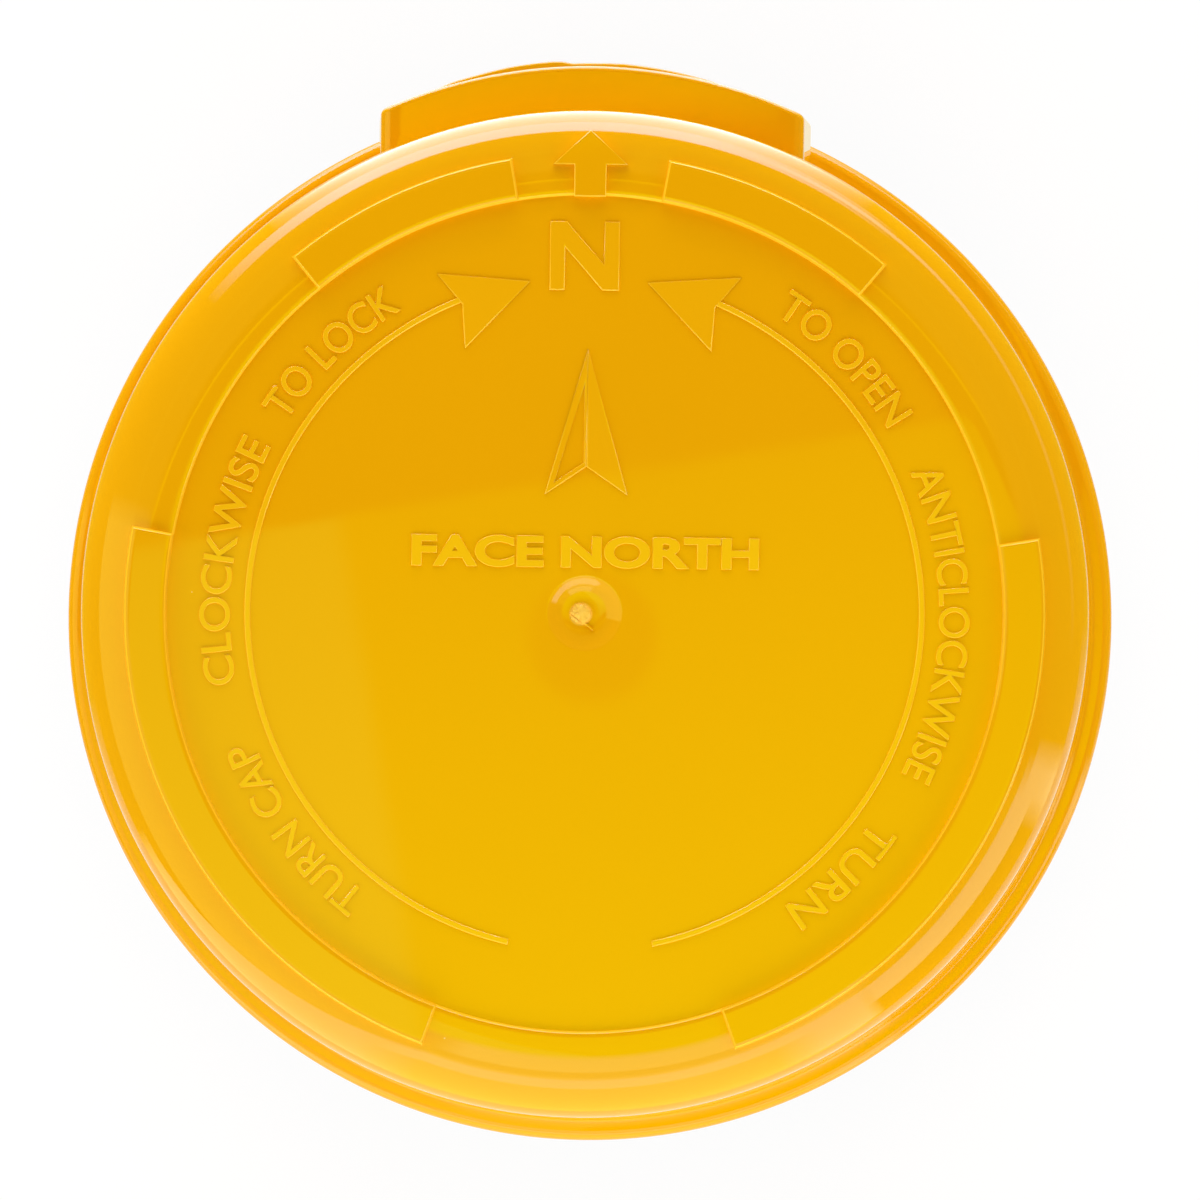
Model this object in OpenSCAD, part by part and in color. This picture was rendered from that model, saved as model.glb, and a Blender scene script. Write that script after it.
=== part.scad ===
// Turn-lock photocell switch: a moulded cover with a window on its north side, closed by a
// plug base with three locking blades. The gasket's underside is z = 0, the turning axis is
// Z and the window looks along +Y. All sizes are in millimetres.

/* [Cover] */
// Outside diameter of the flange round the cover's foot
flange_d = 84; // [80:0.5:92]
// Height of the flange
flange_h = 6; // [5.5:0.5:8]
// Ledge between the flange's edge and the foot of the wall
flange_ledge = 1.7; // [1.4:0.1:2.4]
// Radius of the flange's upper edge
flange_edge_r = 0.8; // [0.4:0.1:1.2]
// Height of the cover from its lower rim to the rim of its top
cover_h = 52; // [50:0.5:60]
// Thickness of the wall
wall_t = 2; // [1.6:0.1:2.4]
// Draft of the wall, in degrees
draft_deg = 2; // [1:0.25:3]
// Radius of the shoulder between wall and top
shoulder_r = 3.6; // [3:0.1:4.4]

/* [Top face] */
// Diameter of the sunken disc
recess_d = 64.4; // [60:0.2:66]
// Depth of the sunken disc below the rim
recess_depth = 0.4; // [0.2:0.1:0.8]
// Thickness of the top under the sunken disc
top_t = 2.2; // [1.8:0.1:3]
// Radial width of the raised pads
pad_w = 3.1; // [2:0.1:3.4]
// Height of the raised pads above the rim
pad_h = 0.5; // [0.3:0.1:1]
// Short pads: first edge, in degrees from north
short_pad_from = 10; // [6:1:20]
// Short pads: last edge, in degrees from north
short_pad_to = 40; // [30:1:60]
// Long pads: first edge, in degrees from north
long_pad_from = 80; // [70:1:100]
// Long pads: last edge, in degrees from north
long_pad_to = 160; // [140:1:170]
// Diameter of the dimple round the moulding gate
dimple_d = 5.8; // [4:0.2:8]
// Depth of the dimple
dimple_depth = 0.4; // [0.3:0.1:1.2]
// Diameter of the gate stub
gate_d = 1.7; // [1.2:0.1:2.4]
// Height of the gate stub above the dimple's floor
gate_h = 0.4; // [0.2:0.1:0.8]

/* [Window frame] */
// Width of the frame at its top
frame_w = 32.8; // [28:0.2:36]
// Draft of the frame's sides, in degrees
frame_draft_deg = 1.75; // [1:0.25:4]
// Height of the frame
frame_h = 25; // [20:0.5:27]
// Height of the frame's foot above the flange
frame_rise = 11.5; // [8:0.5:14]
// How far the frame stands out from the wall
frame_out = 3.5; // [2.8:0.1:5]
// Width of the frame's face round the window
frame_border = 3.4; // [2.8:0.1:4.4]
// Radius of the window's corners
window_corner_r = 2; // [1:0.1:3]
// Width of the bowed sill at the frame's foot
sill_w = 22; // [16:0.5:26]
// Height of the sill
sill_h = 2; // [1.2:0.2:2.6]
// How far the middle of the sill stands out from the frame
sill_out = 0.8; // [0.4:0.1:1.6]

/* [Window lens] */
// Setback of the pane's face behind the frame's face
lens_setback = 0.7; // [0.3:0.1:1.2]
// Thickness of the lip behind the frame
lens_lip_t = 1.3; // [1:0.1:2]
// Gap round the lens
lens_clear = 0.15; // [0.1:0.05:0.3]

/* [Base] */
// Thickness of the base disc
base_t = 3.2; // [2.6:0.1:4]
// Thickness of the flange outside the base
skirt_t = 2.2; // [1.8:0.1:2.6]
// How far the cover's lower rim reaches below the base
rim_below = 1.2; // [1:0.1:1.8]
// Gap between base and cover
base_clear = 0.2; // [0.1:0.05:0.4]
// Reach of the snap lugs in from the flange
lug_reach = 0.9; // [0.7:0.1:1.4]
// Length of each snap lug, in degrees
lug_arc = 16; // [10:1:24]
// Width of the key that sets base to window
key_w = 4; // [3:0.2:6]
// Depth of the key
key_depth = 1.4; // [1:0.1:2]

/* [Gasket] */
// Thickness of the foam
gasket_t = 3; // [2:0.25:5]
// Radial width of the ring
gasket_w = 10; // [8:0.5:12]

/* [Twist-lock blades] */
// Diameter of the circle through the blades
blade_circle_d = 27; // [25:0.5:30]
// Length of the blades below the gasket
blade_l = 12.7; // [11:0.1:14]
// Thickness of the brass
blade_t = 1.5; // [1.2:0.1:1.8]
// Width of the line and load blades
blade_w = 7; // [6.4:0.2:8]
// Width of the neutral blade
neutral_w = 9; // [8:0.2:11]
// Depth of the neutral blade's inward lip
neutral_lip = 3; // [2:0.2:4]
// How far the locking hook reaches past the blade's edge
hook_reach = 2.4; // [1.6:0.2:3]
// Height of the locking hook
hook_h = 5; // [4:0.2:6]
// Chamfer of the blades' lower corners
blade_chamfer = 1; // [0.6:0.1:1.6]
// Gap between blade and slot
slot_clear = 0.15; // [0.1:0.05:0.3]
// Width of the tab that lies on the base
tab_w = 6; // [5.4:0.2:6.4]
// Diameter of the rivet's shank
rivet_d = 2.4; // [2:0.1:3]
// Diameter of the rivet's heads
rivet_head_d = 4.4; // [3.8:0.1:5]
// Height of the rivet's heads
rivet_head_h = 0.9; // [0.6:0.1:1.2]

/* [Leads] */
// Diameter of the leads over the insulation
lead_d = 2.2; // [1.8:0.1:2.8]
// Diameter of the bare conductor
conductor_d = 1.2; // [0.8:0.1:1.4]
// Length stripped at each end, clear of tab and board
strip_l = 1.2; // [0.6:0.1:2]

/* [Circuit board] */
// Height of the board's underside above the base
board_gap = 11; // [9:0.5:14]
// Thickness of the board
board_t = 1.6; // [1.2:0.1:2]
// Gap between the board's edge and the cover
board_edge_gap = 4.6; // [3.6:0.2:6]
// Diameter of the posts under the board
post_d = 7; // [6:0.2:8]
// Distance of the posts from the board's edge
post_inset = 6; // [5:0.2:7]
// Diameter of the screws' shanks
screw_d = 2.4; // [2:0.1:3]
// Length of the screws under the head
screw_l = 7; // [5:0.5:9]
// Diameter of the screws' heads
screw_head_d = 5; // [4.4:0.1:6]
// Height of the screws' heads
screw_head_h = 1.8; // [1.4:0.1:2.4]

/* [Board parts] */
// Diameter of the thin component wires
pin_d = 0.8; // [0.6:0.1:1]
// How far wires stand out below the board
pin_out = 1.2; // [0.8:0.1:2]
// Inside radius of bent wires
pin_bend_r = 1; // [0.6:0.1:1.4]
// Length of the relay
relay_l = 19; // [17:0.5:21]
// Width of the relay
relay_w = 15.4; // [14:0.2:16]
// Height of the relay
relay_h = 15.6; // [14:0.2:20]
// Length of the film capacitor
film_l = 17.5; // [15:0.5:19]
// Width of the film capacitor
film_w = 8.4; // [7:0.2:9]
// Height of the film capacitor
film_h = 14.4; // [12:0.2:18]
// Diameter of the filter capacitor's can
can_d = 10; // [8:0.5:11]
// Height of the filter capacitor's can
can_h = 16.5; // [12:0.5:20]
// Radius of the crimp groove round the can
can_groove_r = 0.6; // [0.4:0.1:0.8]
// Diameter of the surge arrester's disc
arrester_d = 14; // [10:0.5:16]
// Thickness of the surge arrester's disc
arrester_t = 4.4; // [3.6:0.2:5]
// Diameter of the dropper resistor
dropper_d = 4.6; // [3.6:0.2:5]
// Length of the dropper resistor
dropper_l = 11; // [9:0.5:12]
// Diameter of the rectifier diodes
diode_d = 2.7; // [2.2:0.1:3]
// Length of the rectifier diodes
diode_l = 5.2; // [4:0.2:6]
// Diameter of the zener diode
zener_d = 2; // [1.6:0.1:2.6]
// Length of the zener diode
zener_l = 3.8; // [3:0.2:4.4]
// Diameter of the bias resistors
bias_d = 2.3; // [1.8:0.1:2.6]
// Length of the bias resistors
bias_l = 6.3; // [5:0.1:6.8]
// Length of the end caps of the resistors
resistor_cap_l = 1.4; // [1:0.1:2]
// How far the resistors' end caps stand out round their waist
resistor_cap_h = 0.2; // [0.1:0.05:0.3]
// Diameter of the transistor's case
transistor_d = 4.8; // [4:0.2:5.2]
// Height of the transistor's case
transistor_h = 4.8; // [4:0.2:5.2]
// Diameter of the photocell
cell_d = 12; // [9:0.5:14]
// Thickness of the photocell
cell_t = 3.4; // [2.6:0.2:4]
// Gap between photocell and lens
cell_gap = 5.5; // [4:0.5:8]
// Distance between the photocell's leads
cell_pitch = 7; // [5:0.5:8]

/* [Hidden] */
$fn = 96;
eps = 0.01;
// Running fit of shanks and wires in their holes
hole_clear = 0.1;
// Free gap between neighbouring parts
part_gap = 1.5;
blade_step = 120;
neutral_az = 90;
lug_count = 4;
lug_az = 45;

base_z = gasket_t;
base_top = base_z + base_t;
cover_z = base_z - rim_below;
flange_top = cover_z + flange_h;
cover_top = cover_z + cover_h;
recess_z = cover_top - recess_depth;
cavity_top = recess_z - top_t;

flange_r = flange_d / 2;
foot_r = flange_r - flange_ledge;
bore_r = flange_r - skirt_t;
base_r = bore_r - base_clear;
recess_r = recess_d / 2;
wall_across = wall_t / cos(draft_deg);
function wall_r(z) = foot_r - (z - flange_top) * tan(draft_deg);

frame_z = flange_top + frame_rise;
frame_top = frame_z + frame_h;
window_w = frame_w - 2 * frame_border;
window_h = frame_h - 2 * frame_border;
window_z = frame_z + frame_h / 2;
function frame_half_w(z) = frame_w / 2 + (frame_top - z) * tan(frame_draft_deg);
// How far the frame runs back into the cover, where the cavity is cut away again
frame_back = foot_r / 2;
lens_lip = frame_border - wall_t - lens_clear;
lens_back = wall_across + lens_clear + lens_lip_t;
sill_face_y = frame_out + wall_r(frame_z);
sill_drop = sill_face_y + sill_out - frame_out - sqrt(pow(wall_r(frame_z), 2) - pow(sill_w / 2, 2));
sill_r = (pow(sill_w / 2, 2) + pow(sill_drop, 2)) / (2 * sill_drop);

blade_r = blade_circle_d / 2;
blade_az = [neutral_az + blade_step, neutral_az + 2 * blade_step, neutral_az];
rivet_r = blade_r + blade_t / 2 + rivet_head_d / 2 + hole_clear;
lead_r = rivet_r + rivet_head_d / 2 + part_gap;
tab_end_r = lead_r + conductor_d / 2 + part_gap;
tab_top = base_top + blade_t;
gasket_ri = rivet_r + rivet_head_d / 2 + part_gap;
gasket_ro = gasket_ri + gasket_w;

board_z = base_top + board_gap;
board_top = board_z + board_t;
board_r = wall_r(board_top) - wall_across - board_edge_gap;
post_r = board_r - post_inset;
post_az = neutral_az + blade_step / 2;

// Places on the board, each worked out from its neighbours
relay_x = -part_gap - pin_d - relay_l / 2;
relay_y = part_gap / 2;
film_x = 2 * part_gap + film_l / 2;
film_y = part_gap - film_w / 2;
can_x = film_x;
can_y = part_gap + part_gap + can_d / 2;
zener_y = min(relay_y - relay_w / 2, film_y - film_w / 2) - part_gap - zener_d / 2;
arrester_y = zener_y - zener_d / 2 - part_gap - arrester_t / 2;
diode_pitch = diode_l + 2 * (pin_bend_r + pin_d + part_gap / 2);
diode_y = arrester_y - arrester_t / 2 - part_gap - diode_pitch / 2;
diode_step = diode_d + part_gap;
diode_x0 = screw_head_d / 2 + part_gap + diode_d / 2;
dropper_pitch = dropper_l + 2 * (pin_bend_r + pin_d + part_gap / 2);
dropper_x = part_gap + dropper_l / 2;
dropper_y = can_y + can_d / 2 + part_gap + dropper_d / 2;
zener_pitch = zener_l + 2 * (pin_bend_r + pin_d);
bias_pitch = bias_l + 2 * (pin_bend_r + pin_d);
bias_step = bias_d + part_gap / 2;
bias_x = dropper_x - dropper_pitch / 2 - part_gap - bias_pitch / 2;
bias_y0 = relay_y + relay_w / 2 + part_gap + bias_d / 2;
transistor_x = dropper_x;
transistor_y = dropper_y + dropper_d / 2 + part_gap + transistor_d / 2;
cell_face_y = frame_out + wall_r(window_z) - lens_back - cell_gap;
cell_back_y = cell_face_y - cell_t;
cell_lead_y = cell_back_y - part_gap - pin_bend_r - pin_d / 2;

// Wire holes in the board, each [x, y]
relay_pin_dx = relay_l / 2 - 2 * part_gap;
relay_pin_dy = relay_w / 2 - 2 * part_gap;
can_pin_dx = can_d / 4;
arrester_pin_dx = arrester_d / 4;
film_pin_dx = film_l / 2 - part_gap;
transistor_pin_dx = transistor_d / 4;
relay_pins = [
  for (sx = [-1, 1], sy = [-1, 1]) [relay_x + sx * relay_pin_dx, relay_y + sy * relay_pin_dy]
];
film_pins = [for (s = [-1, 1]) [film_x + s * film_pin_dx, film_y]];
can_pins = [for (s = [-1, 1]) [can_x + s * can_pin_dx, can_y]];
arrester_pins = [for (s = [-1, 1]) [s * arrester_pin_dx, arrester_y]];
dropper_pins = [for (s = [-1, 1]) [dropper_x + s * dropper_pitch / 2, dropper_y]];
diode_xs = [for (s = [-1, 1], i = [0, 1]) s * (diode_x0 + i * diode_step)];
diode_pins = [for (x = diode_xs, s = [-1, 1]) [x, diode_y + s * diode_pitch / 2]];
zener_pins = [for (s = [-1, 1]) [s * zener_pitch / 2, zener_y]];
bias_ys = [for (i = [0:2]) bias_y0 + i * bias_step];
bias_pins = [for (y = bias_ys, s = [-1, 1]) [bias_x + s * bias_pitch / 2, y]];
transistor_pins = [for (i = [-1:1]) [transistor_x + i * transistor_pin_dx, transistor_y]];
cell_pins = [for (s = [-1, 1]) [s * cell_pitch / 2, cell_lead_y]];
wire_pins = concat(relay_pins, film_pins, can_pins, arrester_pins, dropper_pins, diode_pins,
  zener_pins, bias_pins, transistor_pins, cell_pins);

// Half section of the drafted wall and rounded shoulder, moved in by the given thickness
module dome_profile(inset, z_low, z_high) {
  edge_r = shoulder_r - inset;
  centre_z = z_high - edge_r;
  line_in = inset / cos(draft_deg);
  centre_r = wall_r(centre_z) - line_in - edge_r / cos(draft_deg);
  polygon([
    [0, z_low],
    [wall_r(z_low) - line_in, z_low],
    [centre_r + edge_r * cos(draft_deg), centre_z + edge_r * sin(draft_deg)],
    [centre_r, z_high],
    [0, z_high]
  ]);
  translate([centre_r, centre_z])
    circle(edge_r);
}

// Half section of the flange with its rounded upper edge
module flange_profile() {
  square([flange_r, flange_h - flange_edge_r]);
  square([flange_r - flange_edge_r, flange_h]);
  translate([flange_r - flange_edge_r, flange_h - flange_edge_r])
    circle(flange_edge_r);
}

// The drafted wall pushed out northwards, less a depth, between two heights and the frame's sides
module frame_cone(depth, z_low, z_high, side_in) {
  low_x = frame_half_w(z_low) - side_in;
  high_x = frame_half_w(z_high) - side_in;
  intersection() {
    translate([0, frame_out, z_low])
      cylinder(r1 = wall_r(z_low) - depth, r2 = wall_r(z_high) - depth, h = z_high - z_low);
    translate([0, frame_back + flange_r, 0])
      rotate([90, 0, 0])
        linear_extrude(flange_r)
          polygon([[-low_x, z_low], [low_x, z_low], [high_x, z_high], [-high_x, z_high]]);
  }
}

// A shaft along +Y with a rounded rectangular section, round the window's middle
module window_shaft(w, h, corner_r) {
  translate([0, frame_back, window_z])
    rotate([-90, 0, 0])
      linear_extrude(flange_r)
        union() {
          square([w, h - 2 * corner_r], center = true);
          square([w - 2 * corner_r, h], center = true);
          for (x = [-1, 1], y = [-1, 1])
            translate([x * (w / 2 - corner_r), y * (h / 2 - corner_r)])
              circle(corner_r);
        }
}

// A raised pad on the rim between two angles from north, on the side given by its sign
module rim_pad(side, from, to) {
  start = side > 0 ? neutral_az - to : neutral_az + from;
  rotate([0, 0, start])
    rotate_extrude(angle = to - from)
      translate([recess_r - part_gap, cover_top - shoulder_r / 2])
        square([part_gap + pad_w, shoulder_r / 2 + pad_h]);
}

// A snap lug under the base's edge, with a sloped lead-in
module snap_lug() {
  lug_h = rim_below - 2 * hole_clear;
  rotate([0, 0, -lug_arc / 2])
    rotate_extrude(angle = lug_arc)
      polygon([
        [bore_r + skirt_t / 2, base_z],
        [bore_r - lug_reach, base_z],
        [bore_r - lug_reach, base_z - lug_h / 3],
        [bore_r, base_z - lug_h],
        [bore_r + skirt_t / 2, base_z - lug_h]
      ]);
}

module base_key(w, depth, z_low, z_high) {
  translate([-w / 2, -bore_r - skirt_t / 2, z_low])
    cube([w, skirt_t / 2 + depth, z_high - z_low]);
}

module cover_outside() {
  rotate_extrude()
    dome_profile(0, flange_top - flange_edge_r, cover_top);
  translate([0, 0, cover_z])
    rotate_extrude()
      flange_profile();
  frame_cone(0, frame_z, frame_top, 0);
  intersection() {
    translate([0, sill_face_y + sill_out - sill_r, frame_z])
      cylinder(r = sill_r, h = sill_h);
    translate([-sill_w / 2, frame_back, frame_z])
      cube([sill_w, flange_r, sill_h]);
  }
  for (side = [-1, 1]) {
    rim_pad(side, short_pad_from, short_pad_to);
    rim_pad(side, long_pad_from, long_pad_to);
  }
}

module cover_inside() {
  rotate_extrude()
    dome_profile(wall_t, base_top, cavity_top);
  translate([0, 0, cover_z - eps])
    cylinder(r = bore_r, h = base_top - cover_z + eps);
  frame_cone(wall_across, frame_z + wall_t, frame_top - wall_t, wall_t);
  window_shaft(window_w, window_h, window_corner_r);
  translate([0, 0, recess_z])
    cylinder(r = recess_r, h = recess_depth + 2 * pad_h);
  dimple_r = (pow(dimple_d / 2, 2) + pow(dimple_depth, 2)) / (2 * dimple_depth);
  translate([0, 0, recess_z - dimple_depth + dimple_r])
    sphere(dimple_r);
}

module cover() {
  color([0.93, 0.65, 0.02]) {
    difference() {
      cover_outside();
      cover_inside();
    }
    for (i = [0:lug_count - 1])
      rotate([0, 0, lug_az + i * 360 / lug_count])
        snap_lug();
    base_key(key_w, key_depth, base_z, base_top);
    translate([0, 0, recess_z - dimple_depth - top_t / 4])
      cylinder(d = gate_d, h = top_t / 4 + gate_h);
  }
}

module window_lens() {
  color([0.85, 0.88, 0.88, 0.4]) {
    intersection() {
      difference() {
        frame_cone(lens_setback, frame_z, frame_top, 0);
        frame_cone(lens_back, frame_z - eps, frame_top + eps, -eps);
      }
      window_shaft(window_w - 2 * lens_clear, window_h - 2 * lens_clear, window_corner_r - lens_clear);
    }
    intersection() {
      difference() {
        frame_cone(wall_across + lens_clear, frame_z, frame_top, 0);
        frame_cone(lens_back, frame_z - eps, frame_top + eps, -eps);
      }
      window_shaft(window_w + 2 * lens_lip, window_h + 2 * lens_lip, window_corner_r);
    }
  }
}

// Whatever of its children lies on the curved sheet of the blades, grown by a gap on each face
module on_blade_circle(z_low, z_high, grow) {
  intersection() {
    difference() {
      translate([0, 0, z_low])
        cylinder(r = blade_r + blade_t / 2 + grow, h = z_high - z_low);
      translate([0, 0, z_low - eps])
        cylinder(r = blade_r - blade_t / 2 - grow, h = z_high - z_low + 2 * eps);
    }
    children();
  }
}

module blade_slot(az, w) {
  rotate([0, 0, az])
    on_blade_circle(base_z - eps, base_top + eps, slot_clear)
      translate([0, -w / 2 - slot_clear, base_z - eps])
        cube([2 * blade_r, w + 2 * slot_clear, base_t + 2 * eps]);
}

module at_blades() {
  for (az = blade_az)
    rotate([0, 0, az])
      children();
}

module at_posts() {
  for (i = [0:2])
    rotate([0, 0, post_az + i * blade_step])
      translate([post_r, 0, 0])
        children();
}

module base() {
  color([0.09, 0.09, 0.1])
    difference() {
      union() {
        translate([0, 0, base_z])
          cylinder(r = base_r, h = base_t);
        at_posts()
          translate([0, 0, base_z])
            cylinder(d = post_d, h = board_z - base_z);
      }
      blade_slot(blade_az[0], blade_w);
      blade_slot(blade_az[1], blade_w);
      blade_slot(blade_az[2], neutral_w);
      at_blades()
        translate([rivet_r, 0, base_z - eps])
          cylinder(d = rivet_d + 2 * hole_clear, h = base_t + 2 * eps);
      at_posts()
        translate([0, 0, board_top - screw_l - part_gap])
          cylinder(d = screw_d + 2 * hole_clear, h = screw_l + part_gap);
      base_key(key_w + 2 * base_clear, key_depth + base_clear, base_z - eps, base_top + eps);
    }
}

module gasket() {
  color([0.2, 0.2, 0.21])
    difference() {
      cylinder(r = gasket_ro, h = gasket_t);
      translate([0, 0, -eps])
        cylinder(r = gasket_ri, h = gasket_t + 2 * eps);
    }
}

// A blade with its locking hook on the side that leads when the cover turns to lock
module blade(w) {
  difference() {
    union() {
      on_blade_circle(-blade_l, tab_top, 0)
        rotate([90, 0, 90])
          linear_extrude(2 * blade_r)
            polygon([
              [-w / 2, tab_top],
              [w / 2, tab_top],
              [w / 2, blade_chamfer - blade_l],
              [w / 2 - blade_chamfer, -blade_l],
              [blade_chamfer - w / 2 - hook_reach, -blade_l],
              [-w / 2 - hook_reach, blade_chamfer - blade_l],
              [-w / 2 - hook_reach, hook_h - blade_l],
              [-w / 2, hook_h - blade_l]
            ]);
      translate([blade_r, -tab_w / 2, base_top])
        cube([tab_end_r - blade_r, tab_w, blade_t]);
    }
    translate([rivet_r, 0, base_top - eps])
      cylinder(d = rivet_d + 2 * hole_clear, h = blade_t + 2 * eps);
    translate([lead_r, 0, base_top - eps])
      cylinder(d = conductor_d + 2 * hole_clear, h = blade_t + 2 * eps);
  }
}

module line_blade() {
  color([0.8, 0.62, 0.3])
    rotate([0, 0, blade_az[0]])
      blade(blade_w);
}

module load_blade() {
  color([0.8, 0.62, 0.3])
    rotate([0, 0, blade_az[1]])
      blade(blade_w);
}

module neutral_blade() {
  lip_x = sqrt(pow(blade_r - blade_t / 2, 2) - pow(neutral_w / 2, 2)) - neutral_lip;
  color([0.8, 0.62, 0.3])
    rotate([0, 0, blade_az[2]]) {
      blade(neutral_w);
      translate([lip_x, neutral_w / 2 - blade_t, blade_chamfer - blade_l])
        cube([neutral_lip + blade_t / 2, blade_t, blade_l - blade_chamfer]);
    }
}

module blade_rivets() {
  color([0.75, 0.6, 0.34])
    at_blades()
      translate([rivet_r, 0, 0]) {
        translate([0, 0, base_z - rivet_head_h])
          cylinder(d = rivet_head_d, h = rivet_head_h);
        translate([0, 0, base_z - rivet_head_h / 2])
          cylinder(d = rivet_d, h = tab_top - base_z + rivet_head_h);
        translate([0, 0, tab_top])
          cylinder(d = rivet_head_d, h = rivet_head_h);
      }
}

// A stripped lead that stands in the blade's tab and in the board
module lead(az) {
  rotate([0, 0, az])
    translate([lead_r, 0, 0]) {
      translate([0, 0, base_top])
        cylinder(d = conductor_d, h = board_top + pin_out - base_top);
      translate([0, 0, tab_top + strip_l])
        cylinder(d = lead_d, h = board_z - tab_top - 2 * strip_l);
    }
}

module line_lead() {
  color([0.12, 0.12, 0.12])
    lead(blade_az[0]);
}

module load_lead() {
  color([0.7, 0.1, 0.08])
    lead(blade_az[1]);
}

module neutral_lead() {
  color([0.88, 0.88, 0.86])
    lead(blade_az[2]);
}

module circuit_board() {
  color([0.55, 0.42, 0.2])
    difference() {
      translate([0, 0, board_z])
        cylinder(r = board_r, h = board_t);
      translate([0, 0, board_z - eps]) {
        for (p = wire_pins)
          translate(p)
            cylinder(d = pin_d + 2 * hole_clear, h = board_t + 2 * eps);
        at_blades()
          translate([lead_r, 0, 0])
            cylinder(d = conductor_d + 2 * hole_clear, h = board_t + 2 * eps);
        at_posts()
          cylinder(d = screw_d + 2 * hole_clear, h = board_t + 2 * eps);
      }
    }
}

module board_screws() {
  color([0.7, 0.7, 0.72])
    at_posts() {
      translate([0, 0, board_top])
        cylinder(d = screw_head_d, h = screw_head_h);
      translate([0, 0, board_top - screw_l])
        cylinder(d = screw_d, h = screw_l + screw_head_h / 2);
    }
}

// Straight wires from inside a part down through the board
module pins(places, depth) {
  for (p = places)
    translate([p[0], p[1], board_z - pin_out])
      cylinder(d = pin_d, h = board_t + pin_out + depth);
}

// A quarter bend from level to upright, in the plane of X and Z
module wire_bend(bend_r) {
  rotate([90, 0, 0])
    rotate_extrude(angle = 90)
      translate([bend_r, 0])
        circle(d = pin_d);
}

// A body along X on two bent wires, lifted clear of the board, with end caps of the given height
module axial_part(body_d, body_l, pitch, cap_h) {
  lift = board_top + body_d / 2 + pin_d;
  bend = pin_bend_r + pin_d / 2;
  translate([0, 0, lift]) {
    rotate([0, 90, 0])
      difference() {
        cylinder(d = body_d, h = body_l, center = true);
        if (cap_h > 0)
          difference() {
            cylinder(d = body_d + 2 * cap_h, h = body_l - 2 * resistor_cap_l, center = true);
            cylinder(d = body_d - 2 * cap_h, h = body_l, center = true);
          }
      }
    for (turn = [0, 180])
      rotate([0, 0, turn]) {
        translate([body_l / 2 - part_gap / 2, 0, 0])
          rotate([0, 90, 0])
            cylinder(d = pin_d, h = pitch / 2 - bend - body_l / 2 + part_gap / 2);
        translate([pitch / 2 - bend, 0, -bend])
          wire_bend(bend);
        translate([pitch / 2, 0, board_z - pin_out - lift])
          cylinder(d = pin_d, h = lift - bend - board_z + pin_out);
      }
  }
}

module relay() {
  color([0.1, 0.16, 0.3]) {
    translate([relay_x - relay_l / 2, relay_y - relay_w / 2, board_top])
      cube([relay_l, relay_w, relay_h]);
    pins(relay_pins, part_gap);
  }
}

module film_capacitor() {
  color([0.62, 0.12, 0.1]) {
    translate([film_x - film_l / 2, film_y - film_w / 2, board_top])
      cube([film_l, film_w, film_h]);
    pins(film_pins, part_gap);
  }
}

module filter_capacitor() {
  color([0.08, 0.1, 0.14]) {
    translate([can_x, can_y, board_top])
      difference() {
        cylinder(d = can_d, h = can_h);
        translate([0, 0, part_gap + can_groove_r])
          rotate_extrude()
            translate([can_d / 2, 0])
              circle(can_groove_r);
      }
    pins(can_pins, part_gap);
  }
}

module surge_arrester() {
  color([0.1, 0.25, 0.5]) {
    translate([0, arrester_y, board_top + part_gap + arrester_d / 2])
      rotate([90, 0, 0])
        cylinder(d = arrester_d, h = arrester_t, center = true);
    pins(arrester_pins, part_gap + arrester_d / 4);
  }
}

module dropper_resistor() {
  color([0.5, 0.62, 0.66])
    translate([dropper_x, dropper_y, 0])
      axial_part(dropper_d, dropper_l, dropper_pitch, resistor_cap_h);
}

module rectifier_diodes() {
  color([0.08, 0.08, 0.09])
    for (x = diode_xs)
      translate([x, diode_y, 0])
        rotate([0, 0, 90])
          axial_part(diode_d, diode_l, diode_pitch, 0);
}

module zener_diode() {
  color([0.75, 0.35, 0.15])
    translate([0, zener_y, 0])
      axial_part(zener_d, zener_l, zener_pitch, 0);
}

module bias_resistors() {
  color([0.78, 0.66, 0.46])
    for (y = bias_ys)
      translate([bias_x, y, 0])
        axial_part(bias_d, bias_l, bias_pitch, resistor_cap_h);
}

module transistor() {
  color([0.07, 0.07, 0.08]) {
    translate([transistor_x, transistor_y, board_top + part_gap])
      intersection() {
        cylinder(d = transistor_d, h = transistor_h);
        translate([-transistor_d / 2, -transistor_d / 4, 0])
          cube([transistor_d, transistor_d, transistor_h]);
      }
    pins(transistor_pins, 2 * part_gap);
  }
}

module photocell() {
  color([0.8, 0.72, 0.62])
    translate([0, cell_face_y, window_z])
      rotate([90, 0, 0])
        cylinder(d = cell_d, h = cell_t);
}

module photocell_leads() {
  bend = pin_bend_r + pin_d / 2;
  color([0.72, 0.72, 0.74])
    for (p = cell_pins)
      translate([p[0], 0, 0]) {
        translate([0, cell_back_y, window_z])
          rotate([90, 0, 0])
            cylinder(d = pin_d, h = cell_back_y - cell_lead_y - bend);
        translate([0, cell_lead_y + bend, window_z - bend])
          rotate([0, 0, -90])
            wire_bend(bend);
        translate([0, cell_lead_y, board_z - pin_out])
          cylinder(d = pin_d, h = window_z - bend - board_z + pin_out);
      }
}

cover();
window_lens();
base();
gasket();
line_blade();
load_blade();
neutral_blade();
blade_rivets();
line_lead();
load_lead();
neutral_lead();
circuit_board();
board_screws();
relay();
film_capacitor();
filter_capacitor();
surge_arrester();
dropper_resistor();
rectifier_diodes();
zener_diode();
bias_resistors();
transistor();
photocell();
photocell_leads();
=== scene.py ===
import math

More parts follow.
